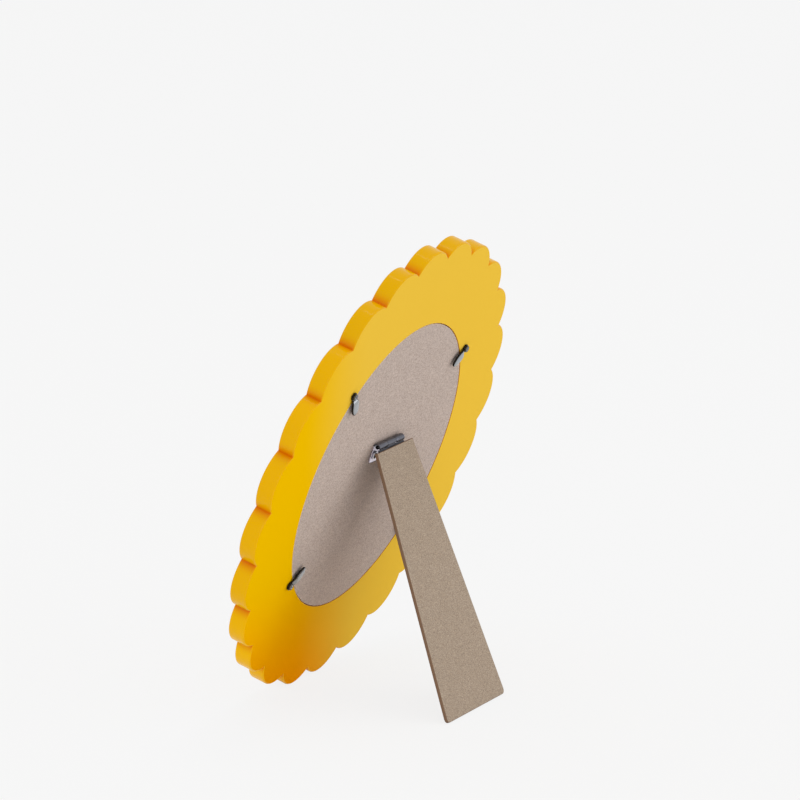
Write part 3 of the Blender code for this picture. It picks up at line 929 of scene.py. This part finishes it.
        # Painted shade on the rebate's wall.
        split_finish(ring, self.gap_shade_finish.build(), stance.plane, self.is_gap_shaded)


# Sheets in the rebate

@dataclass(frozen=True)
class RebateSheets:
    """Backing board, picture card and glazing, which keep the solids' shapes."""

    # The board's edge carries the painted highlight.
    board: Fibreboard = field(default_factory=lambda: Fibreboard(
        name="backing_fibreboard", painted_highlight_centre=(0.0, -0.010783, 0.119941), painted_highlight_radius=0.07983))
    card: PrintCard = field(default_factory=PrintCard)
    glass: FloatGlass = field(default_factory=FloatGlass)

    def build(self, nodes: dict[str, bpy.types.Object]) -> None:
        """Give each sheet its material.

        Args:
            nodes: The part's solids by name.
        """
        for name, finish, slot in (("backing_board", self.board, Slot.BACKING),
                                   ("picture_card", self.card, Slot.CARD),
                                   ("glazing", self.glass, Slot.GLAZING)):
            sheet = nodes[name]
            sheet.data.materials.clear()
            sheet.data.materials.append(finish.build())
            LOG.info("%s keeps its solid's shape", name)


# Strut hinge

@dataclass(frozen=True)
class StrutHinge:
    """Rolled strut hinge: two leaves, a pin, two eyelets into the board and two rivets into the leg."""

    bright: PlatedSteel = field(default_factory=lambda: PlatedSteel(
        "bright_zinc_plate", "#DCD6E2", "#CFC8D6", 0.32))
    # Painted shade: the same plate painted darker on the barrel's rolls.
    rolled: PlatedSteel = field(default_factory=lambda: PlatedSteel(
        "roll_plate_painted_shade", "#63646D", "#585962", 0.30))
    # Dark steel of the pin, also used as painted shade inside the eyelets' bores.
    dark: PlatedSteel = field(default_factory=lambda: PlatedSteel(
        "dark_pin_and_bore_shade", "#242428", "#1C1C20", 0.35))
    # Painted shade: the moving leaf's plate under the leg painted near-black.
    under_leg_shade_steel: PlatedSteel = field(default_factory=lambda: PlatedSteel(
        "plate_under_leg_painted_shade", "#3E3F46", "#35363C", 0.38))
    # Painted light: whiter than the leaf's plate, lifting the shade that the leg and knuckle cast on the
    # eyelets.
    nickelled: PlatedSteel = field(default_factory=lambda: PlatedSteel(
        "nickel_eyelet_painted_light", "#F6F4F8", "#EEECF2", 0.42))
    width: float = 0.0285
    sheet: float = 0.0007
    sheet_round: float = 0.00012
    knuckle_radius: float = 0.0020
    knuckle_gap: float = 0.0003
    pin_clearance: float = 0.0003
    pin_inset: float = 0.0003
    pin_dome: float = 0.3
    fixed_length: float = 0.0096
    moving_length: float = 0.0105
    corner: float = 0.0012
    plate_rise: float = 0.00015
    stop_gap: float = 0.0002
    face_gap: float = 0.0002
    board_recess: float = 0.0002
    board_thickness: float = 0.0022
    eyelet_inset: float = 0.0034
    eyelet_drop: float = 0.0056
    eyelet_bore: float = 0.0014
    eyelet_wall: float = 0.0003
    eyelet_flange: float = 0.0024
    eyelet_rim: float = 0.0005
    rivet_spread: float = 0.0052
    rivet_drop: float = 0.0068
    rivet_shank: float = 0.0010
    rivet_head: float = 0.0020
    rivet_height: float = 0.0005
    rivet_bite: float = 0.0011
    hole_gap: float = 0.0002
    points_per_roll: int = 56

    @property
    def roll(self) -> float:
        """Radius of the middle of the rolled sheet."""
        return self.knuckle_radius - self.sheet / 2

    @property
    def pin_radius(self) -> float:
        """Radius of the pin, which turns freely inside the roll."""
        return self.knuckle_radius - self.sheet - self.pin_clearance

    @property
    def half_knuckle(self) -> float:
        """Half the length of a knuckle, as three knuckles and two gaps make up the width."""
        return (self.width - 2 * self.knuckle_gap) / 6

    @property
    def leaf_level(self) -> float:
        """Height of the middle of the moving leaf's plate above the axis, in the leg's plane."""
        return self.sheet / 2 + self.plate_rise

    def rolled_path(self, level: float, free_end: float) -> tuple[Array, Array]:
        """Middle line of a rolled sheet, from where its plate ends to its free end.

        It starts on the roll at the plate's level, goes under the pin, round the far side and over
        the top, and ends at the angle free_end above the plate's direction.

        Args:
            level: Height of the plate's middle above the axis.
            free_end: Angle of the roll's free end in radians.

        Returns:
            Distance along the plate's direction and height, for each point.
        """
        start = math.asin(max(level / self.roll, -1.0))
        angles = np.linspace(start, free_end - 2 * math.pi, self.points_per_roll)
        return self.roll * np.cos(angles), self.roll * np.sin(angles)

    def leaf(self, name: str, matrix: Array, length: float, level: float, free_end: float,
             rolled: Callable[[Array], Array], shoulder: float, hole: tuple[float, float, float]
             ) -> bpy.types.Object:
        """Make a leaf as a sheet on its middle surface, given its thickness by Solidify.

        Across the leaf run columns, and along it run rows: first the plate, from its free edge to the
        roll, then the roll.  A column keeps its roll where rolled says so.  The free edge has rounded
        corners: past the corner's start it draws back by the corner's radius less the square root of
        that radius squared less the distance past the start squared.  Each hole starts as a square
        of the grid, whose edge points are then moved out along their rays onto the hole's circle.

        Args:
            name: Name of the piece.
            matrix: The plane that it lies in.
            length: From the axis to the free edge.
            level: Height of the plate's middle.
            free_end: Angle of the roll's free end.
            rolled: Takes the columns' middles and returns which are rolled.
            shoulder: How near the axis the plate ends where it isn't rolled.
            hole: Distance of the two holes from the middle and from the axis, and their radius.

        Returns:
            The leaf.
        """
        half = self.width / 2
        hole_side, hole_drop, hole_radius = hole
        # Grid lines across a hole, in shares of its radius: its square's two sides and three between.
        square = hole_radius * np.array([-0.8, -0.4, 0.0, 0.4, 0.8])
        marks = [0, self.half_knuckle, self.half_knuckle + self.knuckle_gap]
        corner = half - self.corner * (1 - np.sin(np.linspace(0, math.pi / 2, 7)))
        positive = np.unique(np.round(np.concatenate([marks, hole_side + square, corner]), 7))
        across = np.concatenate([-positive[:0:-1], positive])
        wide = np.ones(across.size)
        past = np.clip(np.abs(across) - (half - self.corner), 0, self.corner)
        edge = length - (self.corner - np.sqrt(self.corner ** 2 - past ** 2))
        stops = np.append(hole_drop - square, shoulder)
        roll_along, roll_up = (part[:, None] * wide for part in self.rolled_path(level, free_end))
        along = np.concatenate([edge[None, :], stops[:, None] * wide, roll_along])
        up = np.concatenate([np.full((stops.size + 1, across.size), level), roll_up])
        rows, columns = along.shape
        off_side = np.broadcast_to(np.abs(across) - hole_side, along.shape)
        off_drop = along - hole_drop
        is_rim = np.abs(np.maximum(np.abs(off_side), np.abs(off_drop)) - square[-1]) < WELD
        is_rim[stops.size + 1:] = False
        stretch = np.ones(along.shape)
        stretch[is_rim] = hole_radius / np.hypot(off_side[is_rim], off_drop[is_rim])
        sign = np.where(across < 0, -1.0, 1.0)
        grid = np.stack([sign * (hole_side + off_side * stretch), -(hole_drop + off_drop * stretch), up],
                        axis=-1)
        faces = grid_faces(rows, columns, close_rows=False, close_columns=False)
        row, column = np.divmod(np.arange(len(faces)), columns - 1)
        middle = (across[1:] + across[:-1])[column] / 2
        is_hole = ((row >= 1) & (row < stops.size - 1)
                   & (np.abs(np.abs(middle) - hole_side) < square[-1]))
        is_plate = row < stops.size
        kept = ~is_hole & (is_plate | rolled(middle))
        leaf = mesh_object(name, carried(grid, matrix).reshape(-1, 3), faces[kept])
        loose = bmesh.new()
        loose.from_mesh(leaf.data)
        bmesh.ops.delete(loose, geom=[v for v in loose.verts if not v.link_faces], context="VERTS")
        loose.to_mesh(leaf.data)
        loose.free()
        make_sheet(leaf, self.sheet, self.sheet_round)
        return leaf

    def is_rolled(self, middles: Array) -> Array:
        """Which faces lie on the roll, as they are nearer the axis than the rolled sheet's outside."""
        return np.hypot(middles[:, 1], middles[:, 2]) < self.roll + self.sheet / 4

    def build_leaves(self, stance: Stance, plate_steel: bpy.types.Material) -> None:
        """Make the fixed leaf with its two outer knuckles and the moving leaf with the middle one.

        The rolls are painted a darker grey than the plates, and the leaf under the leg is painted
        darker still, both as painted shade.

        Args:
            stance: Where the planes are.
            plate_steel: Material of the fixed leaf's plate.
        """
        roll_shade_steel = self.rolled.build()
        opened = math.acos(float(stance.leg[:3, 1] @ stance.plane[:3, 1]))
        shoulder = self.pin_radius + self.pin_clearance + self.face_gap
        high = self.sheet + self.plate_rise
        stop = opened + math.asin(high / shoulder) + self.stop_gap / shoulder
        fixed = self.leaf("hinge_leaf_on_board", stance.hinge, self.fixed_length, -self.roll, stop,
                          lambda x: np.abs(x) > self.half_knuckle + self.knuckle_gap / 2,
                          self.knuckle_radius,
                          (self.width / 2 - self.eyelet_inset, self.eyelet_drop,
                           self.eyelet_bore + self.eyelet_wall + self.hole_gap))
        dress(fixed, plate_steel, "frame", ["hinge_fixed_leaf"])
        split_finish(fixed, roll_shade_steel, stance.hinge, self.is_rolled)
        inner = self.knuckle_radius - self.sheet
        free_end = math.asin(high / inner) + self.face_gap / inner
        moving = self.leaf("hinge_leaf_under_leg", stance.leg, self.moving_length, self.leaf_level,
                           free_end, lambda x: np.abs(x) < self.half_knuckle, self.roll,
                           (self.rivet_spread, self.rivet_drop, self.rivet_shank + self.hole_gap))
        dress(moving, self.under_leg_shade_steel.build(), "leg", ["hinge_moving_leaf"])
        split_finish(moving, roll_shade_steel, stance.leg, self.is_rolled)

    def build_pin(self, stance: Stance) -> None:
        """Turn the pin, with its ends slightly domed, and lay it along the hinge's axis.

        Args:
            stance: Where the planes are.
        """
        half = self.width / 2 - self.pin_inset
        rim = self.pin_radius * self.pin_dome
        flat = self.pin_radius * (1 - self.pin_dome)
        dome = arc_points((flat, half - rim), rim, math.pi / 2, 0, count=6)
        top = np.concatenate([[[0.0, half]], dome])
        profile = np.concatenate([top, top[::-1] * (1, -1)])
        z_to_x = np.array([[0, 0, 1, 0], [0, 1, 0, 0], [-1, 0, 0, 0], [0, 0, 0, 1]], float)
        pin = grid_object("hinge_pin_turned", turned_grid(profile, sides=40), stance.hinge @ z_to_x)
        dress(pin, self.dark.build(), "frame", ["hinge_pin"])

    def build_eyelets(self, stance: Stance) -> None:
        """Turn the two eyelets, whose rolled rims clamp the fixed leaf and whose bores are painted
        near-black as painted shade.

        Args:
            stance: Where the planes are.
        """
        bore_shade_steel, nickel = self.dark.build(), self.nickelled.build()
        board_back = -self.board_recess
        board_front = board_back - self.board_thickness
        under = board_back + 2 * self.face_gap + self.sheet
        barrel = self.eyelet_bore + self.eyelet_wall
        rim = self.eyelet_rim / 2
        top = under + self.eyelet_rim
        lip = self.eyelet_flange - rim
        upper = arc_points((lip, under + rim), rim, math.pi / 2, -math.pi / 2, count=9)
        inner = arc_points((self.eyelet_bore + rim, top - rim), rim, math.pi, math.pi / 2, count=7)
        lower = arc_points((lip, board_front + rim), rim, math.pi / 2, -math.pi / 2, count=9)
        neck = [[barrel, under], [barrel, board_front + self.eyelet_rim]]
        profile = np.concatenate([inner, upper, neck, lower, [[self.eyelet_bore, board_front]]])
        height = float((np.linalg.inv(stance.plane) @ stance.leg[:, 3])[1])
        for side in Side:
            matrix = stance.plane @ shift(side.value * (self.width / 2 - self.eyelet_inset),
                                          height - self.eyelet_drop)
            eyelet = grid_object("eyelet_rolled_" + side.name.lower(), turned_grid(profile, sides=56),
                                 matrix, close_rows=True)
            dress(eyelet, nickel, "frame", ["hinge_eyelet_" + side.name.lower()])
            # Painted shade: the bore's inside gets the near-black steel.
            split_finish(eyelet, bore_shade_steel, matrix,
                         lambda middles: from_axis(middles) < self.eyelet_bore + self.eyelet_rim / 2)

    def build_rivets(self, stance: Stance, plate_steel: bpy.types.Material) -> None:
        """Turn the two rivets, with domed heads under the moving leaf.

        A dome is an arc through the head's rim and its crown, whose radius is the head's squared plus
        the height squared, over twice the height.

        Args:
            stance: Where the planes are.
            plate_steel: Material of the rivets.
        """
        under = self.plate_rise - self.face_gap
        low = under - self.rivet_height
        leg_inner = self.sheet + self.plate_rise + self.face_gap
        dome_radius = (self.rivet_head ** 2 + self.rivet_height ** 2) / (2 * self.rivet_height)
        reach = math.asin(self.rivet_head / dome_radius)
        dome = arc_points((0.0, low + dome_radius), dome_radius, 1.5 * math.pi, 1.5 * math.pi + reach,
                          count=9)
        tip = leg_inner + self.rivet_bite
        shank = [[self.rivet_shank, under], [self.rivet_shank, tip], [0.0, tip]]
        profile = np.concatenate([dome, shank])
        for side in Side:
            place = shift(side.value * self.rivet_spread, -self.rivet_drop)
            rivet = grid_object("rivet_domed_" + side.name.lower(), turned_grid(profile, sides=48),
                                stance.leg @ place)
            dress(rivet, plate_steel, "leg", ["leg_rivet_" + side.name.lower()])

    def build(self, stance: Stance) -> None:
        """Make every piece of the hinge.

        Args:
            stance: Where the planes are.
        """
        plate_steel = self.bright.build()
        self.build_leaves(stance, plate_steel)
        self.build_pin(stance)
        self.build_eyelets(stance)
        self.build_rivets(stance, plate_steel)


# Easel leg

@dataclass(frozen=True)
class EaselLeg:
    """Tapered fibreboard strut with a sawn brown edge."""

    board: Fibreboard = field(default_factory=lambda: Fibreboard(
        name="leg_fibreboard", colour="#B4A390", fleck="#837263", cloud="#AA9985",
        cut_colour="#785F4C", fleck_spacing=0.0005, has_cut_edge=True))
    length: float = 0.1416
    top_width: float = 0.0410
    foot_width: float = 0.0682
    thickness: float = 0.0018
    corner: float = 0.0025
    edge: float = 0.0003
    top_drop: float = 0.002546
    inner_level: float = 0.00105
    hair: float = 0.00004
    guard: float = 0.0002
    spine_share: float = 0.98
    spine_drop: float = 0.002
    sawn_share: float = 0.8

    def outline(self) -> Array:
        """Outline of the strut, with a square top and foot corners rounded to the corner's radius.

        Returns:
            Points in the leg's plane, from the top right down, round the foot and up the left.
        """
        top, foot = self.top_width / 2, self.foot_width / 2
        taper = math.atan2(foot - top, self.length)
        centre_x = foot - self.corner * math.tan(taper) - self.corner / math.cos(taper)
        low = -self.top_drop - self.length
        right = arc_points((centre_x, low + self.corner), self.corner, taper, -math.pi / 2, count=12)
        left = right[::-1] * (-1, 1)
        return np.concatenate([[[top, -self.top_drop]], right, left, [[-top, -self.top_drop]]])

    def grid(self) -> tuple[Array, Array]:
        """Points of the strut and how much of the sawn edge shows at each.

        Rows go from a spine down the middle of the inner face, out over its rim, across the edge and
        back over the outer face to a spine there.  A row set in by d moves each side of the outline
        in by d along its own normal, so a corner moves to where its two sides then meet.

        Returns:
            The points, and a share from 0 to 1 for each.
        """
        outline = self.outline()
        before = left_normals(outline - np.roll(outline, 1, axis=0))
        after = left_normals(np.roll(outline, -1, axis=0) - outline)
        total = before + after
        mitre = total / np.sum(before * total, axis=1)[:, None]
        quarter = np.linspace(0, math.pi / 2, 5)
        rim = self.edge * (1 - np.sin(quarter))
        drop = self.edge * (1 - np.cos(quarter))
        low, high = self.inner_level, self.inner_level + self.thickness
        within = [self.edge + self.guard]
        inset = np.concatenate([within, rim, rim[::-1], within]) + self.hair
        level = np.concatenate([[low], low + drop, (high - drop)[::-1], [high]])
        level = np.clip(level, low + self.hair, high - self.hair)
        flat = outline - mitre * inset[:, None, None]
        spine = np.stack([np.zeros(len(outline)), outline[:, 1] * self.spine_share - self.spine_drop],
                         axis=1)
        flat = np.concatenate([spine[None], flat, spine[None]])
        level = np.concatenate([[low], level, [high]])[:, None]
        sawn = np.concatenate([[0.0], np.where(inset < self.edge * self.sawn_share, 1.0, 0.0), [0.0]])
        shape = flat.shape[:2]
        return (np.dstack([flat, np.broadcast_to(level, shape)]),
                np.broadcast_to(sawn[:, None], shape))

    def build(self, stance: Stance) -> None:
        """Make and dress the leg, with the attribute that marks its sawn edge.

        Args:
            stance: Where the planes are.
        """
        grid, sawn = self.grid()
        leg = grid_object("easel_leg_sawn", grid, stance.leg)
        mark_points(leg, "cut_edge", grid, stance.leg, sawn)
        dress(leg, self.board.build(), "leg", ["easel_leg"])


# Turn buttons and their screws

@dataclass(frozen=True)
class TurnButtons:
    """Four teardrop turn buttons, each under a cross-recessed pan-head screw."""

    # Painted light: a light grey plate stands for the lit tops, with painted shade on sides and rims.
    dark: PlatedSteel = field(default_factory=lambda: PlatedSteel(
        "dark_nickel_plate", "#A4A7AA", "#989B9F", 0.25, "#262320"))
    length: float = 0.0134
    eye: float = 0.0023
    neck: float = 0.0013
    width: float = 0.0058
    sheet: float = 0.0010
    crank: float = 0.0007
    crown: float = 0.0005
    crown_rise: float = 4.0
    crown_fall: float = 5.0
    rim_round: float = 0.00035
    flat_inset: float = 0.00012
    seat_gap: float = 0.0003
    head_gap: float = 0.00006
    shank: float = 0.0009
    head: float = 0.0018
    head_height: float = 0.0008
    head_ease: float = 0.0001
    side_share: float = 0.55
    dome_share: float = 0.86
    dome_fall: float = 0.1
    shoulder_share: float = 0.28
    shoulder_drop: float = 0.8
    bite: float = 0.0055
    point: float = 0.0014
    tip_share: float = 0.15
    recess_reach: float = 0.00105
    recess_width: float = 0.00042
    recess_depth: float = 0.0005
    recess_ease: float = 0.0001
    recess_start: float = 0.3
    recess_taper: float = 0.5
    recess_turn: float = 0.4
    # Painted light: the reach of the painted highlight on the screw's crown, then the shares of painted
    # shade on the eye's top, the crown and the rest of the head.
    painted_highlight_reach: float = 0.0011
    eye_painted_shade: float = 0.5
    crown_painted_shade: float = 0.3
    head_painted_shade: float = 0.75
    headings: dict[str, float] = field(default_factory=lambda: {
        "upper_right": math.radians(-146.5), "upper_left": math.radians(-58.0),
        "lower_left": math.radians(40.5), "lower_right": math.radians(140.0)})

    def half_outline(self) -> Array:
        """Half of the plan from the back of the eye to the leaf's tip.

        The eye is a circle.  The leaf is half an ellipse whose half width is the larger of its own
        and the neck's, joined as the root of the sum of their squares.

        Returns:
            Place along the button and half width of each point.
        """
        neck_turn = math.pi - math.asin(self.neck / self.eye)
        turn = np.linspace(0, neck_turn, 22)
        eye = np.stack([-self.eye * np.cos(turn), self.eye * np.sin(turn)], axis=1)
        start = eye[-1, 0]
        sweep = np.linspace(0, math.pi, 40)[1:]
        along = start + (self.length - start) * (1 - np.cos(sweep)) / 2
        half = np.hypot(self.width / 2 * np.sin(sweep), self.neck * np.cos(sweep / 2))
        return np.concatenate([eye, np.stack([along, half], axis=1)])

    def top_height(self, along: Array, share: Array) -> Array:
        """Height of the upper side: flat at the eye, cranked up after it, and crowned on the leaf.

        The crown is one less the fourth power of the share.  It rises over the first quarter of the
        leaf and falls over the last fifth.

        Args:
            along: Distance from the screw's axis.
            share: Share of the half width, from 0 to 1.

        Returns:
            Height above the frame's back.
        """
        eye_top = self.seat_gap + self.sheet
        crank = ease((along - self.head) / (2 * self.sheet))
        start = self.head + self.sheet
        run = np.clip((along - start) / (self.length - start), 0, 1)
        rise = np.minimum(ease(run * self.crown_rise), ease((1 - run) * self.crown_fall))
        return eye_top + self.crank * crank + self.crown * rise * (1 - share ** 4)

    def button_grid(self) -> tuple[Array, Array]:
        """Points of a button, ring by ring from its under side over the rim to its upper side.

        The rim's section is half an ellipse, as high as the sheet.  Inside it, rings shrink towards
        the leaf's own axis, and each point's height is the upper side's height there, less the sheet
        below.

        Returns:
            The points, and the share of painted shade at each: none on the leaf's top, some on the
            eye's.
        """
        half = self.half_outline()
        outline = np.concatenate([half, half[-2:0:-1] * (1, -1)])
        normals = left_normals(np.roll(outline, -1, axis=0) - np.roll(outline, 1, axis=0))
        half_sheet = self.sheet / 2
        around = np.linspace(-math.pi / 2, math.pi / 2, 11)
        shrinks = np.array([0.0, 0.3, 0.6, 0.85, 1.0])
        ones = np.ones(shrinks.size)
        within = (self.rim_round + self.flat_inset) * ones
        inset = np.concatenate([within, self.rim_round * (1 - np.cos(around)), within])
        shrink = np.concatenate([shrinks, np.ones(around.size), shrinks[::-1]])
        level = np.concatenate([-ones, np.sin(around), ones])
        flat = outline - normals * inset[:, None, None]
        flat[..., 1] *= shrink[:, None]
        share = np.abs(flat[..., 1]) / np.maximum(np.abs(outline[:, 1]), self.neck)
        middle = self.top_height(flat[..., 0], np.clip(share, 0, 1)) - half_sheet
        grid = np.dstack([flat, middle + level[:, None] * half_sheet])
        is_top = (np.arange(len(grid)) >= len(grid) - shrinks.size)[:, None]
        in_leaf = grid[..., 0] > self.head + self.sheet / 2
        return grid, np.where(is_top, np.where(in_leaf, 0.0, self.eye_painted_shade), 1.0)

    def screw_grid(self) -> Array:
        """Points of a screw: a domed pan head with a cross recess, a shank and a point.

        The head's upper side drops with the square of the radius, by dome_fall of the head's height
        where it meets the rounded shoulder.  The recess is a cross of two bars.  Its depth eases in
        over recess_ease from the nearer bar's edge, and tapers with the distance from the middle.

        Returns:
            Points, one row for each point of the profile.
        """
        under = self.seat_gap + self.sheet + self.head_gap
        crown = under + self.head_height
        side = self.head_height * self.side_share
        dome_reach = self.head * self.dome_share
        # Rings lie close together over the recess and a little past its end.
        fine_reach = self.recess_reach * 1.15
        flat = np.concatenate([np.linspace(0, fine_reach, 26),
                               np.linspace(fine_reach, dome_reach, 6)[1:]])
        fall = (flat / dome_reach) ** 2 * self.head_height * self.dome_fall
        dome = np.stack([flat, crown - fall], axis=1)
        shoulder = arc_points((self.head * (1 - self.shoulder_share), under + side * self.shoulder_drop),
                              self.head * self.shoulder_share, math.pi / 3, 0, count=8)
        rest = np.array([[self.head, under + self.head_ease], [self.head - self.head_ease, under],
                         [self.shank, under], [self.shank, -self.bite + self.point],
                         [self.shank * self.tip_share, -self.bite], [0.0, -self.bite]])
        profile = np.concatenate([dome, shoulder, rest])
        grid = turned_grid(profile, sides=96)
        x, y = np.abs(grid[..., 0]), np.abs(grid[..., 1])
        near, far = np.minimum(x, y), np.maximum(x, y)
        inside = np.minimum(self.recess_width / 2 - near, self.recess_reach - far)
        taper = 1 - self.recess_taper * far / self.recess_reach
        sunk = ease(inside / self.recess_ease + self.recess_start) * self.recess_depth * taper
        is_top = (np.arange(len(profile)) < len(flat))[:, None]
        grid[..., 2] -= np.where(is_top, np.maximum(sunk, 0.0), 0.0)
        return grid

    def build(self, stance: Stance) -> None:
        """Make and dress the four buttons and their screws.

        Args:
            stance: Where the planes are.
        """
        metal = self.dark.build()
        (leaf, leaf_painted_shade), screw = self.button_grid(), self.screw_grid()
        # Painted highlight on the screw's crown, painted shade on the rest of its head.
        is_painted_highlight = (from_axis(screw) < self.painted_highlight_reach) & (screw[..., 2] > self.seat_gap + self.sheet)
        screw_painted_shade = np.where(is_painted_highlight, self.crown_painted_shade, self.head_painted_shade)
        for place, heading in self.headings.items():
            matrix = stance.at_screw(place, heading)
            button = grid_object("button_leaf_" + place, leaf, matrix)
            mark_points(button, "painted_side_shade", leaf, matrix, leaf_painted_shade)
            dress(button, metal, "button_" + place, ["turn_button_" + place])
            turned = matrix @ rotation_about_z(self.recess_turn)
            head = grid_object("pan_head_screw_" + place, screw, turned)
            mark_points(head, "painted_side_shade", screw, turned, screw_painted_shade)
            dress(head, metal, "frame", ["button_screw_" + place])


# Studio

@dataclass(frozen=True)
class Softbox:
    """A square softbox that faces a point on the frame."""

    name: str
    place: tuple[float, float, float]
    side: float
    power: float


@dataclass(frozen=True)
class Studio:
    """Pale floor, plain backdrop, soft lights and the camera."""

    aim: tuple[float, float, float] = (0.0, 0.0, 0.12)
    backdrop: str = "#F6F6F6"
    ambient: float = 0.99
    floor_side: float = 16.0
    shadow_share: float = 0.1
    mirrored_share: float = 0.35
    sensor_width: float = 36.0
    focal_pixels: float = 6806.94
    clip_end: float = 50.0
    camera_place: tuple[float, float, float] = (3.053783, 1.456320, 0.993593)
    camera_turn: tuple[float, float, float] = (76.073957, -2.822208, 116.172383)
    boxes: tuple[Softbox, ...] = (
        Softbox("left_softbox", (3.4, 1.7, 0.9), 2.0, 20.0),
        Softbox("right_softbox", (-1.8, 2.6, 0.7), 1.5, 13.0),
        Softbox("top_softbox", (-0.3, 0.2, 1.6), 0.45, 3.0),
    )

    def build_floor(self) -> None:
        """Lay the floor.

        A camera ray sees mostly the backdrop's colour and a share of the lit floor, so that the
        floor keeps the object's shadow.  A mirrored or transmitted ray sees the backdrop's colour
        with more of the lit floor.  Other rays meet a plain pale floor.
        """
        half = self.floor_side / 2
        square = np.array([[-half, -half, 0], [half, -half, 0], [half, half, 0], [-half, half, 0]])
        floor = mesh_object("pale_floor", square, np.array([[0, 1, 2, 3]]))
        material = bpy.data.materials.new("pale_floor_paint")
        material.use_nodes = True
        tree = material.node_tree
        tree.nodes.clear()
        paint = add_node(tree, "ShaderNodeBsdfDiffuse", inputs={"Color": srgb(self.backdrop)})
        glow = add_node(tree, "ShaderNodeEmission", inputs={"Color": srgb(self.backdrop)})
        path = add_node(tree, "ShaderNodeLightPath")
        mirrored = add_node(tree, "ShaderNodeMath", {"operation": "MAXIMUM"}, {
            0: path.outputs["Is Glossy Ray"], 1: path.outputs["Is Transmission Ray"]})
        dimmed = add_node(tree, "ShaderNodeMath", {"operation": "MULTIPLY"}, {
            0: mirrored.outputs[0], 1: self.mirrored_share})
        share = add_node(tree, "ShaderNodeMath", {"operation": "MULTIPLY_ADD"}, {
            0: path.outputs["Is Camera Ray"], 1: 1 - self.shadow_share, 2: dimmed.outputs[0]})
        mixed = add_node(tree, "ShaderNodeMixShader", inputs={
            0: share.outputs[0], 1: paint.outputs[0], 2: glow.outputs[0]})
        add_node(tree, "ShaderNodeOutputMaterial", inputs={"Surface": mixed.outputs[0]})
        floor.data.materials.append(material)

    def build_world(self) -> None:
        """Backdrop for camera, glossy and transmitted rays, and a plain ambient light for the rest."""
        world = bpy.data.worlds.new("plain_backdrop")
        world.use_nodes = True
        tree = world.node_tree
        tree.nodes.clear()
        path = add_node(tree, "ShaderNodeLightPath")
        clear = add_node(tree, "ShaderNodeMath", {"operation": "MAXIMUM"}, {
            0: path.outputs["Is Glossy Ray"], 1: path.outputs["Is Transmission Ray"]})
        seen = add_node(tree, "ShaderNodeMath", {"operation": "MAXIMUM"}, {
            0: path.outputs["Is Camera Ray"], 1: clear.outputs[0]})
        shown = add_node(tree, "ShaderNodeBackground", inputs={
            "Color": srgb(self.backdrop), "Strength": 1.0})
        lit = add_node(tree, "ShaderNodeBackground", inputs={
            "Color": srgb(self.backdrop), "Strength": self.ambient})
        mixed = add_node(tree, "ShaderNodeMixShader", inputs={
            0: seen.outputs[0], 1: lit.outputs[0], 2: shown.outputs[0]})
        add_node(tree, "ShaderNodeOutputWorld", inputs={"Surface": mixed.outputs[0]})
        bpy.context.scene.world = world

    def build_lights(self) -> None:
        """Hang the softboxes."""
        for box in self.boxes:
            lamp = bpy.data.lights.new(box.name, "AREA")
            lamp.shape = "SQUARE"
            lamp.size = box.side
            lamp.energy = box.power
            holder = bpy.data.objects.new(box.name, lamp)
            bpy.context.scene.collection.objects.link(holder)
            place = np.array(box.place)
            away = unit(place - self.aim)
            across = unit(np.cross((0.0, 0.0, 1.0), away))
            holder.matrix_world = Matrix(plane_matrix(across, away, place).tolist())

    def build_camera(self) -> None:
        """Set the camera where the photograph's perspective puts it."""
        lens = bpy.data.cameras.new("photograph_view")
        lens.sensor_width = self.sensor_width
        lens.lens = self.focal_pixels * self.sensor_width / IMAGE_SIDE
        lens.clip_end = self.clip_end
        camera = bpy.data.objects.new("photograph_view", lens)
        camera.location = self.camera_place
        camera.rotation_euler = [math.radians(angle) for angle in self.camera_turn]
        bpy.context.scene.collection.objects.link(camera)
        bpy.context.scene.camera = camera

    def build(self) -> None:
        """Build the whole studio."""
        self.build_floor()
        self.build_world()
        self.build_lights()
        self.build_camera()
        bpy.context.scene.view_settings.view_transform = "Standard"


def corners(box: Sequence[Sequence[float]]) -> list[list[float]]:
    """A box's two corners as plain lists."""
    return [[float(x) for x in corner] for corner in box]


def main() -> None:
    """Build every class in order."""
    logging.basicConfig(level=logging.INFO, format="%(name)s: %(message)s")
    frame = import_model()
    stance = Stance.from_joints(frame["joints"])
    ScallopedRing().build(stance)
    RebateSheets().build(frame["nodes"])
    StrutHinge().build(stance)
    EaselLeg().build(stance)
    TurnButtons().build(stance)
    Studio().build()


if __name__ == "__main__":
    main()
